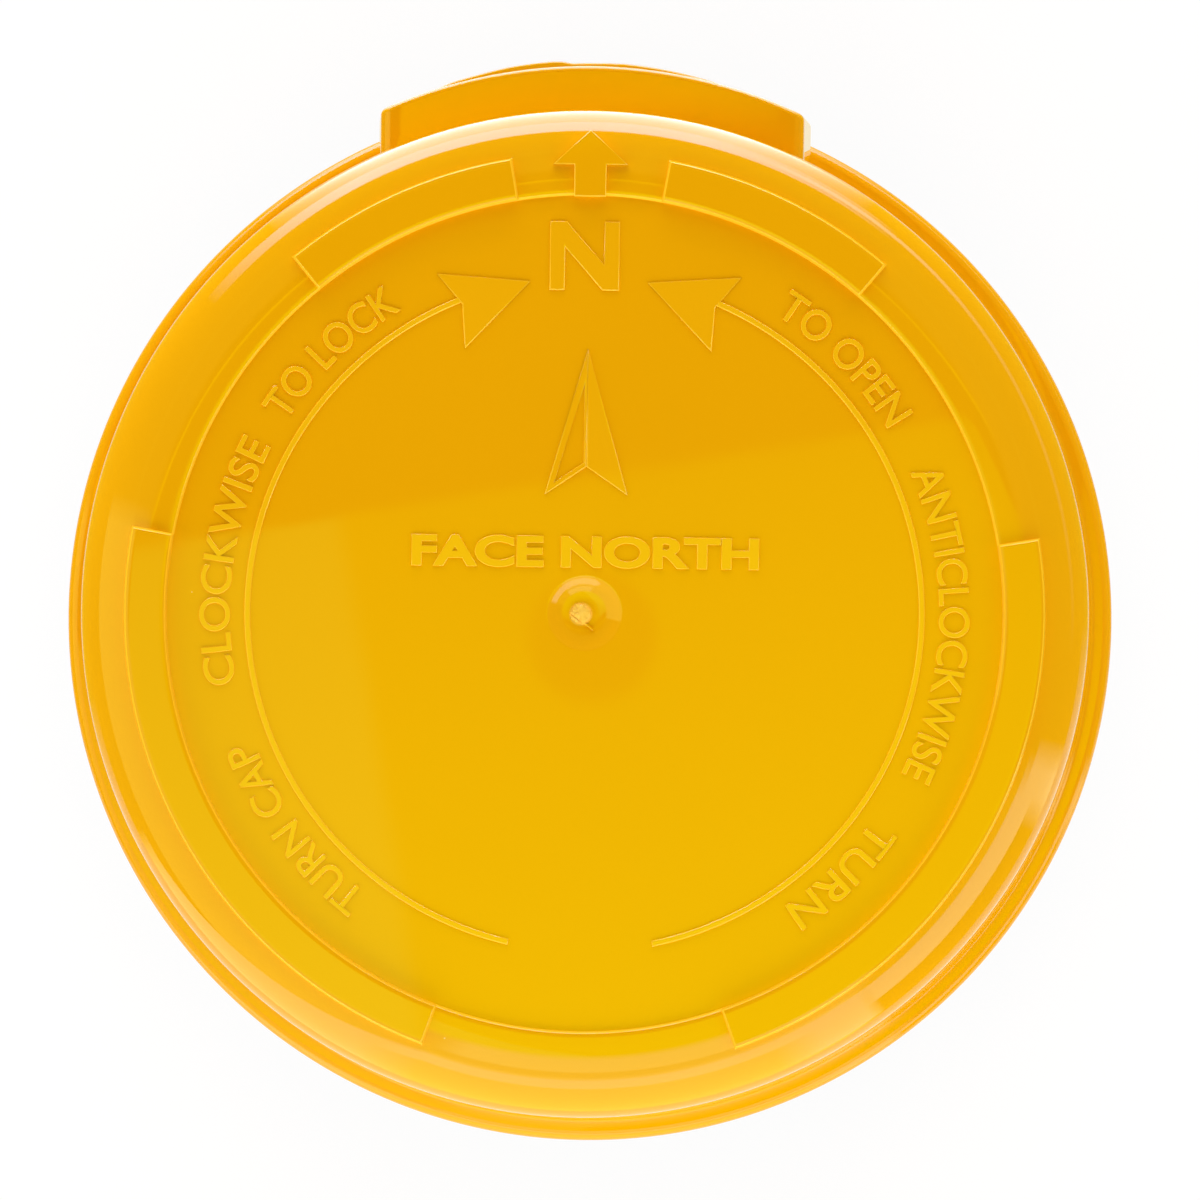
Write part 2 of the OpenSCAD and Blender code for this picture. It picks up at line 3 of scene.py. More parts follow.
import bmesh
import bpy
from mathutils import Matrix, Vector, noise


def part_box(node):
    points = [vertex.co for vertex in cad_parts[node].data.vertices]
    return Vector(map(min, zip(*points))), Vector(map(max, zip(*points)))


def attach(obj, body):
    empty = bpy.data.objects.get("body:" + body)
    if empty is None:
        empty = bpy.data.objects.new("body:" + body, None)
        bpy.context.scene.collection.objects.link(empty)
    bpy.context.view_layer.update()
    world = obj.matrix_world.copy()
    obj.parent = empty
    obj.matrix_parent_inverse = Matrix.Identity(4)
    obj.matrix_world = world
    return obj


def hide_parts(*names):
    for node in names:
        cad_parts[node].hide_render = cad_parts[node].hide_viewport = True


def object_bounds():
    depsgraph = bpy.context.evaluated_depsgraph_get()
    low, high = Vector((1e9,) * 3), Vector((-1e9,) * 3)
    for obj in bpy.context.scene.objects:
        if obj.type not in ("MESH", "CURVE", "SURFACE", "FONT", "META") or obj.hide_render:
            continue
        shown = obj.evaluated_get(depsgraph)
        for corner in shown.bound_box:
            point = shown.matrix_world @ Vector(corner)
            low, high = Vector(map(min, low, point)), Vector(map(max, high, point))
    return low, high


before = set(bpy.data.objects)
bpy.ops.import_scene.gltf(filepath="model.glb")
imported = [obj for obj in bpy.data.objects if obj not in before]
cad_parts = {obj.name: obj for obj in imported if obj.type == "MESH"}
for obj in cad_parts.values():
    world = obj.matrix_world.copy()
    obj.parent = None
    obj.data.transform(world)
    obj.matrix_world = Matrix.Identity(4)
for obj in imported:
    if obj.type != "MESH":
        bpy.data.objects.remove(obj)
cad_box = [list(corner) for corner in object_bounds()]


# Plug base
# A thick disc moulded in black glass-filled plastic, slotted for the blades, with three posts
# that carry the board. Its faces keep the fine grain of the eroded tool.
MM = 0.001
base_colour = (0.022, 0.022, 0.024, 1)
base_edge = 0.25 * MM


def blank_finish(name):
    """A new material: itself, its node tree and its shader."""
    material = bpy.data.materials.new(name)
    material.use_nodes = True
    tree = material.node_tree
    return material, tree, tree.nodes["Principled BSDF"]


def feed(tree, node, inputs):
    """Sets a node's inputs to values, or links them to sockets."""
    for name, value in inputs.items():
        if isinstance(value, bpy.types.NodeSocket):
            tree.links.new(value, node.inputs[name])
        else:
            node.inputs[name].default_value = value


def add_node(tree, kind, inputs, **settings):
    """A new node with its settings and inputs."""
    node = tree.nodes.new(kind)
    for name, value in settings.items():
        setattr(node, name, value)
    feed(tree, node, inputs)
    return node


def object_place(tree):
    return add_node(tree, "ShaderNodeTexCoord", {}).outputs["Object"]


def noise_at(tree, place, feature, detail=3.0):
    """Noise whose lumps are about as wide as the given size."""
    inputs = {"Vector": place, "Scale": 1 / feature, "Detail": detail}
    return add_node(tree, "ShaderNodeTexNoise", inputs).outputs[0]


def ramp(tree, value, low, high, to_low, to_high):
    inputs = {0: value, 1: low, 2: high, 3: to_low, 4: to_high}
    return add_node(tree, "ShaderNodeMapRange", inputs).outputs[0]


def blend(tree, share, first, second):
    return add_node(tree, "ShaderNodeMix", {0: share, 6: first, 7: second}, data_type="RGBA").outputs[2]


def tinted(colour, factor):
    return tuple(min(1.0, part * factor) for part in colour[:3]) + (1,)


def bump(tree, height, depth):
    inputs = {"Height": height, "Strength": 1.0, "Distance": depth}
    return add_node(tree, "ShaderNodeBump", inputs).outputs[0]


def spread(tree, lumps, to_low, to_high):
    """Noise spread between two numbers, over the span that it mostly keeps to."""
    return ramp(tree, lumps, 0.3, 0.7, to_low, to_high)


def moulded_finish(name, colour, roughness, grain=0.25 * MM, depth=0.008 * MM, tone=0.12):
    """Plastic or resin: colour that drifts a little, uneven gloss and the grain of the tool."""
    material, tree, shader = blank_finish(name)
    place = object_place(tree)
    drift = noise_at(tree, place, 9 * MM)
    feed(tree, shader, {
        "Base Color": blend(tree, drift, tinted(colour, 1 - tone), tinted(colour, 1 + tone)),
        "Roughness": spread(tree, drift, 0.85 * roughness, 1.15 * roughness),
        "Normal": bump(tree, noise_at(tree, place, grain), depth),
    })
    return material


def linked(name, data):
    """A new object in the scene, at the origin, that holds the given data."""
    thing = bpy.data.objects.new(name, data)
    bpy.context.scene.collection.objects.link(thing)
    return thing


def baked(thing, *helpers):
    """A thing's mesh after its modifiers. The thing and its helpers are removed."""
    evaluated = thing.evaluated_get(bpy.context.evaluated_depsgraph_get())
    mesh = bpy.data.meshes.new_from_object(evaluated)
    for spent in (thing, *helpers):
        bpy.data.objects.remove(spent)
    return mesh


def piece_from(name, mesh, material, slot, *stands_for):
    """A finished piece at the origin that rides on the part and stands for the given CAD nodes."""
    mesh.materials.clear()
    mesh.materials.append(material)
    piece = linked(name, mesh)
    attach(piece, "root")
    if stands_for:
        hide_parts(*stands_for)
    return piece


def shade(mesh, crease_deg=32):
    """Smooth faces, parted along the edges that are sharper than the crease."""
    mesh.shade_smooth()
    mesh.set_sharp_from_angle(angle=math.radians(crease_deg))


def levelled(mesh):
    """The mesh with its wide faces shaded flat and only its narrow edges shaded round."""
    carrier = linked("carrier", mesh)
    carrier.modifiers.new("level", "WEIGHTED_NORMAL").keep_sharp = True
    return baked(carrier)


def mesh_from(name, bm):
    """A mesh of what was built in bm, which is freed."""
    mesh = bpy.data.meshes.new(name)
    bm.to_mesh(mesh)
    bm.free()
    return mesh


def softened(node, edge, crease_deg=35):
    """A merged copy of a CAD node's mesh with its sharp edges broken by the given width."""
    bm = bmesh.new()
    bm.from_mesh(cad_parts[node].data)
    bmesh.ops.remove_doubles(bm, verts=bm.verts, dist=0.0005 * MM)
    bmesh.ops.dissolve_limit(bm, angle_limit=math.radians(0.3), verts=bm.verts, edges=bm.edges)
    crease = math.radians(crease_deg)
    sharp = [e for e in bm.edges if e.is_manifold and e.calc_face_angle() > crease]
    bmesh.ops.bevel(bm, geom=sharp, offset=edge, segments=3, profile=0.5, affect="EDGES", clamp_overlap=True)
    mesh = mesh_from(node, bm)
    shade(mesh)
    return levelled(mesh)


base_finish = moulded_finish("black_base_plastic", base_colour, 0.42)
piece_from("base_moulding", softened("base", base_edge), base_finish, "base_plastic", "base")


# Twist-lock blades
# Three blades stamped from sheet brass, bent to the circle of the receptacle, with a tab that
# lies on the base. Rolled faces have long fine streaks, and handling has dulled them unevenly.
brass_colour = (0.80, 0.56, 0.22, 1)
blade_edge = 0.18 * MM


def rolled_finish(name, colour, roughness, streak=(6 * MM, 6 * MM, 0.25 * MM)):
    """Rolled or plated metal, with streaks as long and wide as given along X, Y and Z."""
    material, tree, shader = blank_finish(name)
    place = object_place(tree)
    stretches = [MM / length for length in streak]
    stretch = add_node(tree, "ShaderNodeMapping", {"Vector": place, "Scale": stretches}).outputs[0]
    streaks = noise_at(tree, stretch, MM, 2.0)
    stain = noise_at(tree, place, 5 * MM, 4.0)
    colours = blend(tree, ramp(tree, stain, 0.35, 0.7, 0, 1), colour, tinted(colour, 0.72))
    feed(tree, shader, {
        "Base Color": colours,
        "Metallic": 1.0,
        "Roughness": spread(tree, stain, 0.8 * roughness, 1.4 * roughness),
        "Normal": bump(tree, streaks, 0.006 * MM),
    })
    return material


brass_finish = rolled_finish("stamped_brass", brass_colour, 0.26)
for blade in ("line_blade", "load_blade", "neutral_blade"):
    piece_from(blade + "_stamping", softened(blade, blade_edge), brass_finish, "blade_brass", blade)


# Blade rivets
# Three solid brass rivets, one through each blade's tab and the base. The head under the base
# is set domed, and the tail on the tab is spread over by a snap tool.
rivet_low, rivet_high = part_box("blade_rivets")
rivet_head_r = 2.2 * MM
rivet_head_h = 0.9 * MM
rivet_shank_r = 1.2 * MM
neutral_rivet = math.pi / 2


def evenly(first, last, steps):
    """Numbers at equal steps from the first to the last, with both."""
    return [first + (last - first) * i / steps for i in range(steps + 1)]


fastener_turns = evenly(0, 2 * math.pi, 48)[:-1]


def closed_mesh(name, bm):
    """A mesh of the solid that was built in bm, with its faces turned outwards."""
    bmesh.ops.recalc_face_normals(bm, faces=bm.faces)
    return mesh_from(name, bm)


def skin(bm, loops):
    """Faces from each loop of points to the next. A loop of one point is a tip."""
    for loop, after in zip(loops, loops[1:]):
        count = max(len(loop), len(after))
        for i in range(count):
            j = (i + 1) % count
            corners = [loop[i % len(loop)], loop[j % len(loop)], after[j % len(after)], after[i % len(after)]]
            bm.faces.new(dict.fromkeys(corners))


def turned_mesh(name, profile, turns, lift=None, closed=False):
    """A mesh turned about Z from points of (radius, height, share of the lift at each turn)."""
    bm = bmesh.new()
    rings = []
    for radius, height, share in profile:
        if radius == 0:
            rings.append([bm.verts.new((0, 0, height))])
            continue
        heights = [height + share * lift(turn) if lift else height for turn in turns]
        rings.append([
            bm.verts.new((radius * math.cos(turn), radius * math.sin(turn), z))
            for turn, z in zip(turns, heights)
        ])
    skin(bm, rings + rings[:1] if closed else rings)
    mesh = closed_mesh(name, bm)
    shade(mesh)
    return mesh


def dome(head_r, head_h, steps=8):
    """Points of a domed head, from its crown to its edge, above a seat at zero."""
    return [(head_r * math.sin(a), head_h * math.cos(a)) for a in evenly(0, math.pi / 2, steps)]


def fastener_ring_tree():
    """Geometry nodes: one fastener set at equal steps round a circle, each turned at random."""
    tree = bpy.data.node_groups.new("fastener_ring", "GeometryNodeTree")
    sockets = {
        "Fastener": "NodeSocketObject", "Finish": "NodeSocketMaterial", "Count": "NodeSocketInt",
        "Circle Radius": "NodeSocketFloat", "First Angle": "NodeSocketFloat", "Seed": "NodeSocketInt",
    }
    for name, kind in sockets.items():
        tree.interface.new_socket(name, in_out="INPUT", socket_type=kind)
    tree.interface.new_socket("Geometry", in_out="OUTPUT", socket_type="NodeSocketGeometry")
    sizes = tree.nodes.new("NodeGroupInput").outputs
    circle = {"Vertices": sizes["Count"], "Radius": sizes["Circle Radius"]}
    ring = add_node(tree, "GeometryNodeMeshCircle", circle).outputs[0]
    first = add_node(tree, "ShaderNodeCombineXYZ", {"Z": sizes["First Angle"]}).outputs[0]
    placed = add_node(tree, "GeometryNodeTransform", {"Geometry": ring, "Rotation": first}).outputs[0]
    fastener = add_node(tree, "GeometryNodeObjectInfo", {"Object": sizes["Fastener"]}).outputs["Geometry"]
    # Input 3 is the largest angle that the draw can give.
    draw = {3: 2 * math.pi, "Seed": sizes["Seed"]}
    spin = add_node(tree, "FunctionNodeRandomValue", draw, data_type="FLOAT").outputs[1]
    turn = add_node(tree, "ShaderNodeCombineXYZ", {"Z": spin}).outputs[0]
    stand = {"Points": placed, "Instance": fastener, "Rotation": turn}
    set_down = add_node(tree, "GeometryNodeInstanceOnPoints", stand).outputs[0]
    solid = add_node(tree, "GeometryNodeRealizeInstances", {"Geometry": set_down}).outputs[0]
    coat = {"Geometry": solid, "Material": sizes["Finish"]}
    coated = add_node(tree, "GeometryNodeSetMaterial", coat).outputs[0]
    tree.links.new(coated, tree.nodes.new("NodeGroupOutput").inputs[0])
    return tree


fastener_ring = fastener_ring_tree()


def ring_of(name, fastener_mesh, finish, count, circle_r, first_angle, seed):
    """One plain mesh of the fasteners that the ring tree sets out."""
    fastener = bpy.data.objects.new(name + "_one", fastener_mesh)
    carrier = linked(name + "_ring", bpy.data.meshes.new(name + "_ring"))
    setter = carrier.modifiers.new("ring", "NODES")
    setter.node_group = fastener_ring
    values = {
        "Fastener": fastener, "Finish": finish, "Count": count,
        "Circle Radius": circle_r, "First Angle": first_angle, "Seed": seed,
    }
    for socket in fastener_ring.interface.items_tree:
        if socket.name in values:
            setter[socket.identifier] = values[socket.name]
    return baked(carrier, fastener)


rivet_head = dome(rivet_head_r, rivet_head_h)
rivet_profile = [(r, rivet_high.z - rivet_head_h + z, 0) for r, z in rivet_head]
rivet_profile.append((rivet_shank_r, rivet_high.z - rivet_head_h, 0))
rivet_profile.append((rivet_shank_r, rivet_low.z + rivet_head_h, 0))
rivet_profile += [(r, rivet_low.z + rivet_head_h - z, 0) for r, z in reversed(rivet_head)]
rivet_mesh = turned_mesh("rivet", rivet_profile, fastener_turns)
rivet_circle_r = rivet_high.y - rivet_head_r
rivets = ring_of("rivets", rivet_mesh, brass_finish, 3, rivet_circle_r, neutral_rivet, 4)
piece_from("rivet_set", rivets, brass_finish, "blade_brass", "blade_rivets")


# Seat gasket
# A ring die-cut from sheet of closed-cell foam and glued under the base. The cut walls bulge a
# little, and the open cells show on every face.
gasket_low, gasket_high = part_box("gasket")
gasket_outer_r = gasket_high.x
gasket_inner_r = gasket_outer_r - 10 * MM
gasket_colour = (0.035, 0.035, 0.038, 1)
gasket_round = 0.5 * MM
gasket_lump = 0.05 * MM
gasket_turns = evenly(0, 2 * math.pi, 240)[:-1]


def gasket_profile():
    """The ring's section: flat faces, and walls that bulge between rounded edges."""
    height = gasket_high.z - gasket_low.z
    walls = []
    for slope in evenly(0, math.pi, 12):
        walls.append((gasket_round * math.sin(slope) ** 0.5, height * (1 - math.cos(slope)) / 2))
    outer = [(gasket_outer_r - gasket_round + out, gasket_low.z + up, 0) for out, up in walls]
    inner = [(gasket_inner_r + gasket_round - out, gasket_low.z + up, 0) for out, up in reversed(walls)]
    face_steps = evenly(gasket_inner_r, gasket_outer_r, 10)[1:-1]
    top = [(r, gasket_high.z, 0) for r in reversed(face_steps)]
    under = [(r, gasket_low.z, 0) for r in face_steps]
    return outer + top + inner + under


def foam_finish():
    material, tree, shader = blank_finish("gasket_foam_cells")
    place = object_place(tree)
    cells = add_node(tree, "ShaderNodeTexVoronoi", {"Vector": place, "Scale": 1 / (0.45 * MM)}).outputs[0]
    # The cells' hollows are painted darker and the walls between them lighter: painted shade and light for
    # the open cells.
    pores = ramp(tree, cells, 0.05, 0.45, 0.35, 1.25)
    drift = noise_at(tree, place, 6 * MM)
    colours = blend(tree, drift, tinted(gasket_colour, 0.8), tinted(gasket_colour, 1.3))
    shading = {0: colours, "Scale": pores}
    shaded = add_node(tree, "ShaderNodeVectorMath", shading, operation="SCALE").outputs[0]
    feed(tree, shader, {"Base Color": shaded, "Roughness": 0.9, "Normal": bump(tree, cells, 0.06 * MM)})
    return material


gasket_mesh = turned_mesh("gasket_ring", gasket_profile(), gasket_turns, closed=True)
for vertex in gasket_mesh.vertices:
    inner_face = min(vertex.co.z - gasket_low.z, gasket_high.z - vertex.co.z)
    if inner_face > gasket_lump:
        outward = Vector((vertex.co.x, vertex.co.y, 0)).normalized()
        vertex.co -= outward * gasket_lump * (0.5 + 0.5 * noise.noise(vertex.co / (1.2 * MM)))
gasket = piece_from("gasket_ring", gasket_mesh, foam_finish(), "gasket_foam", "gasket")


# Leads
# Three solid copper wires in coloured insulation. Each is stripped at both ends, set in a hole
# of the blade's tab and soldered through the board.
strip_l = 1.2 * MM
lead_colours = {
    "line_lead": ((0.015, 0.015, 0.016, 1), "lead_black"),
    "load_lead": ((0.42, 0.02, 0.015, 1), "lead_red"),
    "neutral_lead": ((0.78, 0.78, 0.74, 1), "lead_white"),
}
tin_colour = (0.68, 0.68, 0.66, 1)


def worked(tree, operation, *values):
    """The result of a sum on numbers or sockets."""
    return add_node(tree, "ShaderNodeMath", dict(enumerate(values)), operation=operation).outputs[0]


def parts_of(tree, vector):
    return add_node(tree, "ShaderNodeSeparateXYZ", {0: vector}).outputs


def away_from(tree, axis, middle):
    """Distance of each point from a middle along one axis."""
    along = parts_of(tree, object_place(tree))[axis]
    return worked(tree, "ABSOLUTE", worked(tree, "SUBTRACT", along, middle))


def beyond(tree, value, limit):
    return worked(tree, "GREATER_THAN", value, limit)


def wired_finish(name, colour, roughness, axis, middle, half_l, bands=()):
    """A coated body with bare tinned wire past its ends, and bands of (place, width, colour)."""
    material, tree, shader = blank_finish(name)
    drift = noise_at(tree, object_place(tree), 2 * MM)
    coat = blend(tree, drift, tinted(colour, 0.88), tinted(colour, 1.12))
    for band_place, band_w, band_colour in bands:
        outside = beyond(tree, away_from(tree, axis, middle + band_place), band_w / 2)
        coat = blend(tree, outside, band_colour, coat)
    bare = beyond(tree, away_from(tree, axis, middle), half_l)
    feed(tree, shader, {
        "Base Color": blend(tree, bare, coat, tin_colour),
        "Metallic": bare,
        "Roughness": spread(tree, drift, 0.85 * roughness, 1.15 * roughness),
    })
    return material


def dress(node, material):
    """Gives a CAD piece that keeps its own mesh its finish."""
    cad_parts[node].data.materials.clear()
    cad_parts[node].data.materials.append(material)


insulation_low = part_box("line_blade")[1].z + strip_l
insulation_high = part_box("circuit_board")[0].z - strip_l
for lead, (lead_colour, lead_slot) in lead_colours.items():
    dress(lead, wired_finish(
        lead_slot + "_insulation", lead_colour, 0.35, 2,
        (insulation_low + insulation_high) / 2, (insulation_high - insulation_low) / 2,
    ))


# Circuit board
# A round board sawn from tan paper laminate, with the fibres showing as a fine mottle and a
# darker band at the sawn edge.
laminate_colour = (0.30, 0.17, 0.055, 1)


def vector_worked(tree, operation, *vectors):
    """The result of a sum on vectors: a number for a length, distance or product, or else a vector."""
    outputs = add_node(tree, "ShaderNodeVectorMath", dict(enumerate(vectors)), operation=operation).outputs
    return outputs["Value" if operation in ("LENGTH", "DISTANCE", "DOT_PRODUCT") else "Vector"]


def flattened(tree, place):
    """A place moved straight down to the level of the origin."""
    return vector_worked(tree, "MULTIPLY", place, (1, 1, 0))


def laminate_finish():
    material, tree, shader = blank_finish("paper_laminate")
    place = object_place(tree)
    fibres = noise_at(tree, place, 0.5 * MM, 6.0)
    drift = noise_at(tree, place, 14 * MM)
    mottled = blend(tree, fibres, tinted(laminate_colour, 0.8), tinted(laminate_colour, 1.2))
    edge_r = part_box("circuit_board")[1].x - 0.2 * MM
    sawn = beyond(tree, vector_worked(tree, "LENGTH", flattened(tree, place)), edge_r)
    feed(tree, shader, {
        "Base Color": blend(tree, sawn, mottled, tinted(laminate_colour, 0.6)),
        "Roughness": spread(tree, drift, 0.3, 0.45),
        "Normal": bump(tree, fibres, 0.004 * MM),
    })
    return material


dress("circuit_board", laminate_finish())


# Board screws
# Three zinc-plated screws with slotted pan heads that hold the board down on the posts.
screw_low, screw_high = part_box("board_screws")
screw_head_r = 2.5 * MM
screw_head_h = 1.8 * MM
screw_shank_r = 1.2 * MM
screw_slot_w = 0.7 * MM
screw_slot_depth = 0.8 * MM
zinc_colour = (0.62, 0.63, 0.64, 1)


def combined(mesh, other_mesh, operation):
    """One mesh cut by another, or joined with it."""
    body = linked("body", mesh)
    tool = linked("tool", other_mesh)
    step = body.modifiers.new("step", "BOOLEAN")
    step.operation = operation
    step.solver = "EXACT"
    step.object = tool
    result = baked(body, tool)
    shade(result)
    return result


def block_mesh(name, low, high):
    """A box between two corners."""
    bm = bmesh.new()
    size = Vector(high) - Vector(low)
    place = Matrix.Translation((Vector(low) + Vector(high)) / 2) @ Matrix.Diagonal((*size, 1))
    bmesh.ops.create_cube(bm, size=1, matrix=place)
    return mesh_from(name, bm)


screw_seat_z = screw_high.z - screw_head_h
screw_profile = [(r, screw_seat_z + screw_head_h * (0.45 + 0.55 * z), 0) for r, z in dome(screw_head_r, 1)]
screw_profile += [(screw_head_r, screw_seat_z, 0), (screw_shank_r, screw_seat_z, 0)]
screw_profile += [(screw_shank_r, screw_low.z + screw_shank_r, 0), (0, screw_low.z, 0)]
screw_slot = block_mesh(
    "screw_slot",
    (-2 * screw_head_r, -screw_slot_w / 2, screw_high.z - screw_slot_depth),
    (2 * screw_head_r, screw_slot_w / 2, screw_high.z + screw_slot_depth),
)
screw_mesh = combined(turned_mesh("screw", screw_profile, fastener_turns), screw_slot, "DIFFERENCE")
screw_circle_r = screw_head_r - screw_low.y
zinc_finish = rolled_finish("zinc_plate", zinc_colour, 0.3, (2 * MM, 2 * MM, 2 * MM))
screws = ring_of("screws", screw_mesh, zinc_finish, 3, screw_circle_r, -math.pi / 2, 11)
piece_from("screw_set", screws, zinc_finish, "plated_steel", "board_screws")


# Relay and capacitors
# Sealed parts on the board: a relay in a blue moulded case, a film capacitor in a potted red
# box, an electrolytic can in a dark sleeve with a pale stripe, and a dipped surge arrester.
stripe_half_deg = 24
sleeve_colour = (0.012, 0.016, 0.03, 1)
stripe_colour = (0.55, 0.58, 0.6, 1)


def sleeve_finish():
    """The can's printed sleeve: a pale stripe down one side and bare metal on the crown."""
    material, tree, shader = blank_finish("can_sleeve_print")
    low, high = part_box("filter_capacitor")
    can_axis = ((low.x + high.x) / 2, (low.y + high.y) / 2, 0)
    parts = parts_of(tree, vector_worked(tree, "SUBTRACT", object_place(tree), can_axis))
    off_stripe = worked(tree, "ABSOLUTE", worked(tree, "ARCTAN2", parts[0], parts[1]))
    past_stripe = beyond(tree, off_stripe, math.radians(stripe_half_deg))
    sleeve = blend(tree, past_stripe, stripe_colour, sleeve_colour)
    crown = beyond(tree, parts[2], high.z - 0.05 * MM)
    drift = noise_at(tree, object_place(tree), 2 * MM)
    feed(tree, shader, {
        "Base Color": blend(tree, crown, sleeve, tin_colour),
        "Metallic": crown,
        "Roughness": spread(tree, drift, 0.22, 0.4),
    })
    return material


relay_finish = moulded_finish("relay_blue", (0.012, 0.05, 0.2, 1), 0.35)
film_finish = moulded_finish("potted_red", (0.36, 0.018, 0.012, 1), 0.3)
arrester_finish = moulded_finish("dipped_blue", (0.01, 0.07, 0.26, 1), 0.22, 1.2 * MM, 0.03 * MM)
sealed_parts = [
    ("relay_case", "relay", 0.4 * MM, relay_finish, "relay_case"),
    ("film_box", "film_capacitor", 0.5 * MM, film_finish, "film_case"),
    ("can_sleeve", "filter_capacitor", 0.25 * MM, sleeve_finish(), "can_sleeve"),
    ("arrester_disc", "surge_arrester", 1.2 * MM, arrester_finish, "arrester_coat"),
]
for case, node, case_edge, case_finish, case_slot in sealed_parts:
    piece_from(case, softened(node, case_edge), case_finish, case_slot, node)


# Wired parts
# Resistors in lacquer with colour bands, a cement-coated dropper, black rectifier diodes with a
# silver band, a glass zener diode and a small black transistor.
band_w = 0.55 * MM
bias_bands = [
    (-1.7 * MM, band_w, (0.16, 0.05, 0.015, 1)),
    (-0.6 * MM, band_w, (0.01, 0.01, 0.01, 1)),
    (0.5 * MM, band_w, (0.6, 0.25, 0.01, 1)),
    (2.0 * MM, band_w, (0.5, 0.34, 0.08, 1)),
]
dropper_bands = [
    (-3.2 * MM, 1.1 * MM, (0.6, 0.42, 0.02, 1)),
    (-1.2 * MM, 1.1 * MM, (0.25, 0.04, 0.3, 1)),
    (0.8 * MM, 1.1 * MM, (0.16, 0.05, 0.015, 1)),
    (3.6 * MM, 1.1 * MM, (0.5, 0.34, 0.08, 1)),
]
diode_bands = [(1.6 * MM, 0.8 * MM, (0.7, 0.7, 0.7, 1))]
zener_bands = [(1.2 * MM, 0.6 * MM, (0.01, 0.01, 0.01, 1))]
# Each row: CAD piece, finish, colour, roughness, axis of its wires, half its body's length, bands.
wired_parts = [
    ("bias_resistors", "banded_lacquer", (0.56, 0.4, 0.2, 1), 0.35, 0, 3.2 * MM, bias_bands),
    ("dropper_resistor", "cement_coat", (0.2, 0.32, 0.36, 1), 0.6, 0, 5.6 * MM, dropper_bands),
    ("rectifier_diodes", "diode_moulding", (0.012, 0.012, 0.013, 1), 0.4, 1, 2.7 * MM, diode_bands),
    ("zener_diode", "zener_bead", (0.5, 0.13, 0.03, 1), 0.12, 0, 2 * MM, zener_bands),
]
for node, coat_name, coat_colour, roughness, axis, half_l, bands in wired_parts:
    low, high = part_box(node)
    wire_middle = (low[axis] + high[axis]) / 2
    dress(node, wired_finish(coat_name, coat_colour, roughness, axis, wire_middle, half_l, bands))
transistor_finish = moulded_finish("transistor_black", (0.014, 0.014, 0.015, 1), 0.45)
transistor_mesh = softened("transistor", 0.15 * MM)
piece_from("transistor_case", transistor_mesh, transistor_finish, "diode_case", "transistor")


# Photocell
# A light-sensitive cell that looks out through the window: a coated ceramic disc whose face
# carries a rust-red track, folded to and fro between two metal combs, on two tinned wires.
cell_low, cell_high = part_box("photocell")
cell_middle = (cell_low + cell_high) / 2
track_runs = 7
track_w = 0.55 * MM
track_gap = 1.25 * MM
track_rise = 0.06 * MM
cell_face_r = (cell_high.x - cell_low.x) / 2 - 1 * MM


def add_line(curve, points):
    """A straight-sided line through points, added to a curve."""
    line = curve.splines.new("POLY")
    line.points.add(len(points) - 1)
    for point, place in zip(line.points, points):
        point.co = (*place, 1)
    return line


def run_reach(x):
    """Half the length of the track's run at a place across the cell's face."""
    return math.sqrt(cell_face_r ** 2 - (abs(x) + track_gap / 2) ** 2) - track_gap / 2


def track_mesh():
    """A flat ribbon folded to and fro across the cell's face, with rounded turns."""
    centre_line = []
    first_x = -track_gap * (track_runs - 1) / 2
    for run in range(track_runs):
        x = first_x + run * track_gap
        reach = run_reach(x)
        side = 1 if run % 2 == 0 else -1
        centre_line += [(x, -side * reach), (x, side * reach)]
        if run < track_runs - 1:
            top = side * min(reach, run_reach(x + track_gap))
            centre_line[-1] = (x, top)
            centre_line += [
                (x + track_gap / 2 * (1 - math.cos(a)), top + side * track_gap / 2 * math.sin(a))
                for a in evenly(0, math.pi, 8)[1:-1]
            ]
    curve = bpy.data.curves.new("track", "CURVE")
    curve.dimensions = "3D"
    add_line(curve, [(cell_middle.x + x, cell_high.y, cell_middle.z + z) for x, z in centre_line])
    curve.extrude = track_rise
    curve.bevel_depth = track_w / 2
    curve.bevel_resolution = 1
    mesh = baked(linked("track", curve))
    flatness = track_rise / (track_w / 2)
    for vertex in mesh.vertices:
        vertex.co.y = cell_high.y + (vertex.co.y - cell_high.y) * flatness
    shade(mesh)
    return mesh


cell_finish = moulded_finish("coated_ceramic", (0.4, 0.27, 0.14, 1), 0.18)
track_finish = moulded_finish("rust_red_track", (0.16, 0.016, 0.007, 1), 0.3)
piece_from("cell_disc", softened("photocell", 0.5 * MM), cell_finish, "cell_body", "photocell")
piece_from("cell_track", track_mesh(), track_finish, "cell_body")
dress("photocell_leads", rolled_finish("tinned_wire", tin_colour, 0.3, (2 * MM, 2 * MM, 2 * MM)))


# Window lens
# A clear curved pane moulded in polycarbonate, seated from inside behind the frame by its lip.
# It is polished, with faint flow marks.
def lens_finish():
    material, tree, shader = blank_finish("clear_pane")
    flow = noise_at(tree, object_place(tree), 4 * MM, 2.0)
    feed(tree, shader, {
        "Base Color": (0.95, 0.97, 0.96, 1),
        "Transmission Weight": 1.0,
        "IOR": 1.58,
        "Roughness": spread(tree, flow, 0.02, 0.07),
        "Normal": bump(tree, flow, 0.01 * MM),
    })
    return material


dress("window_lens", lens_finish())


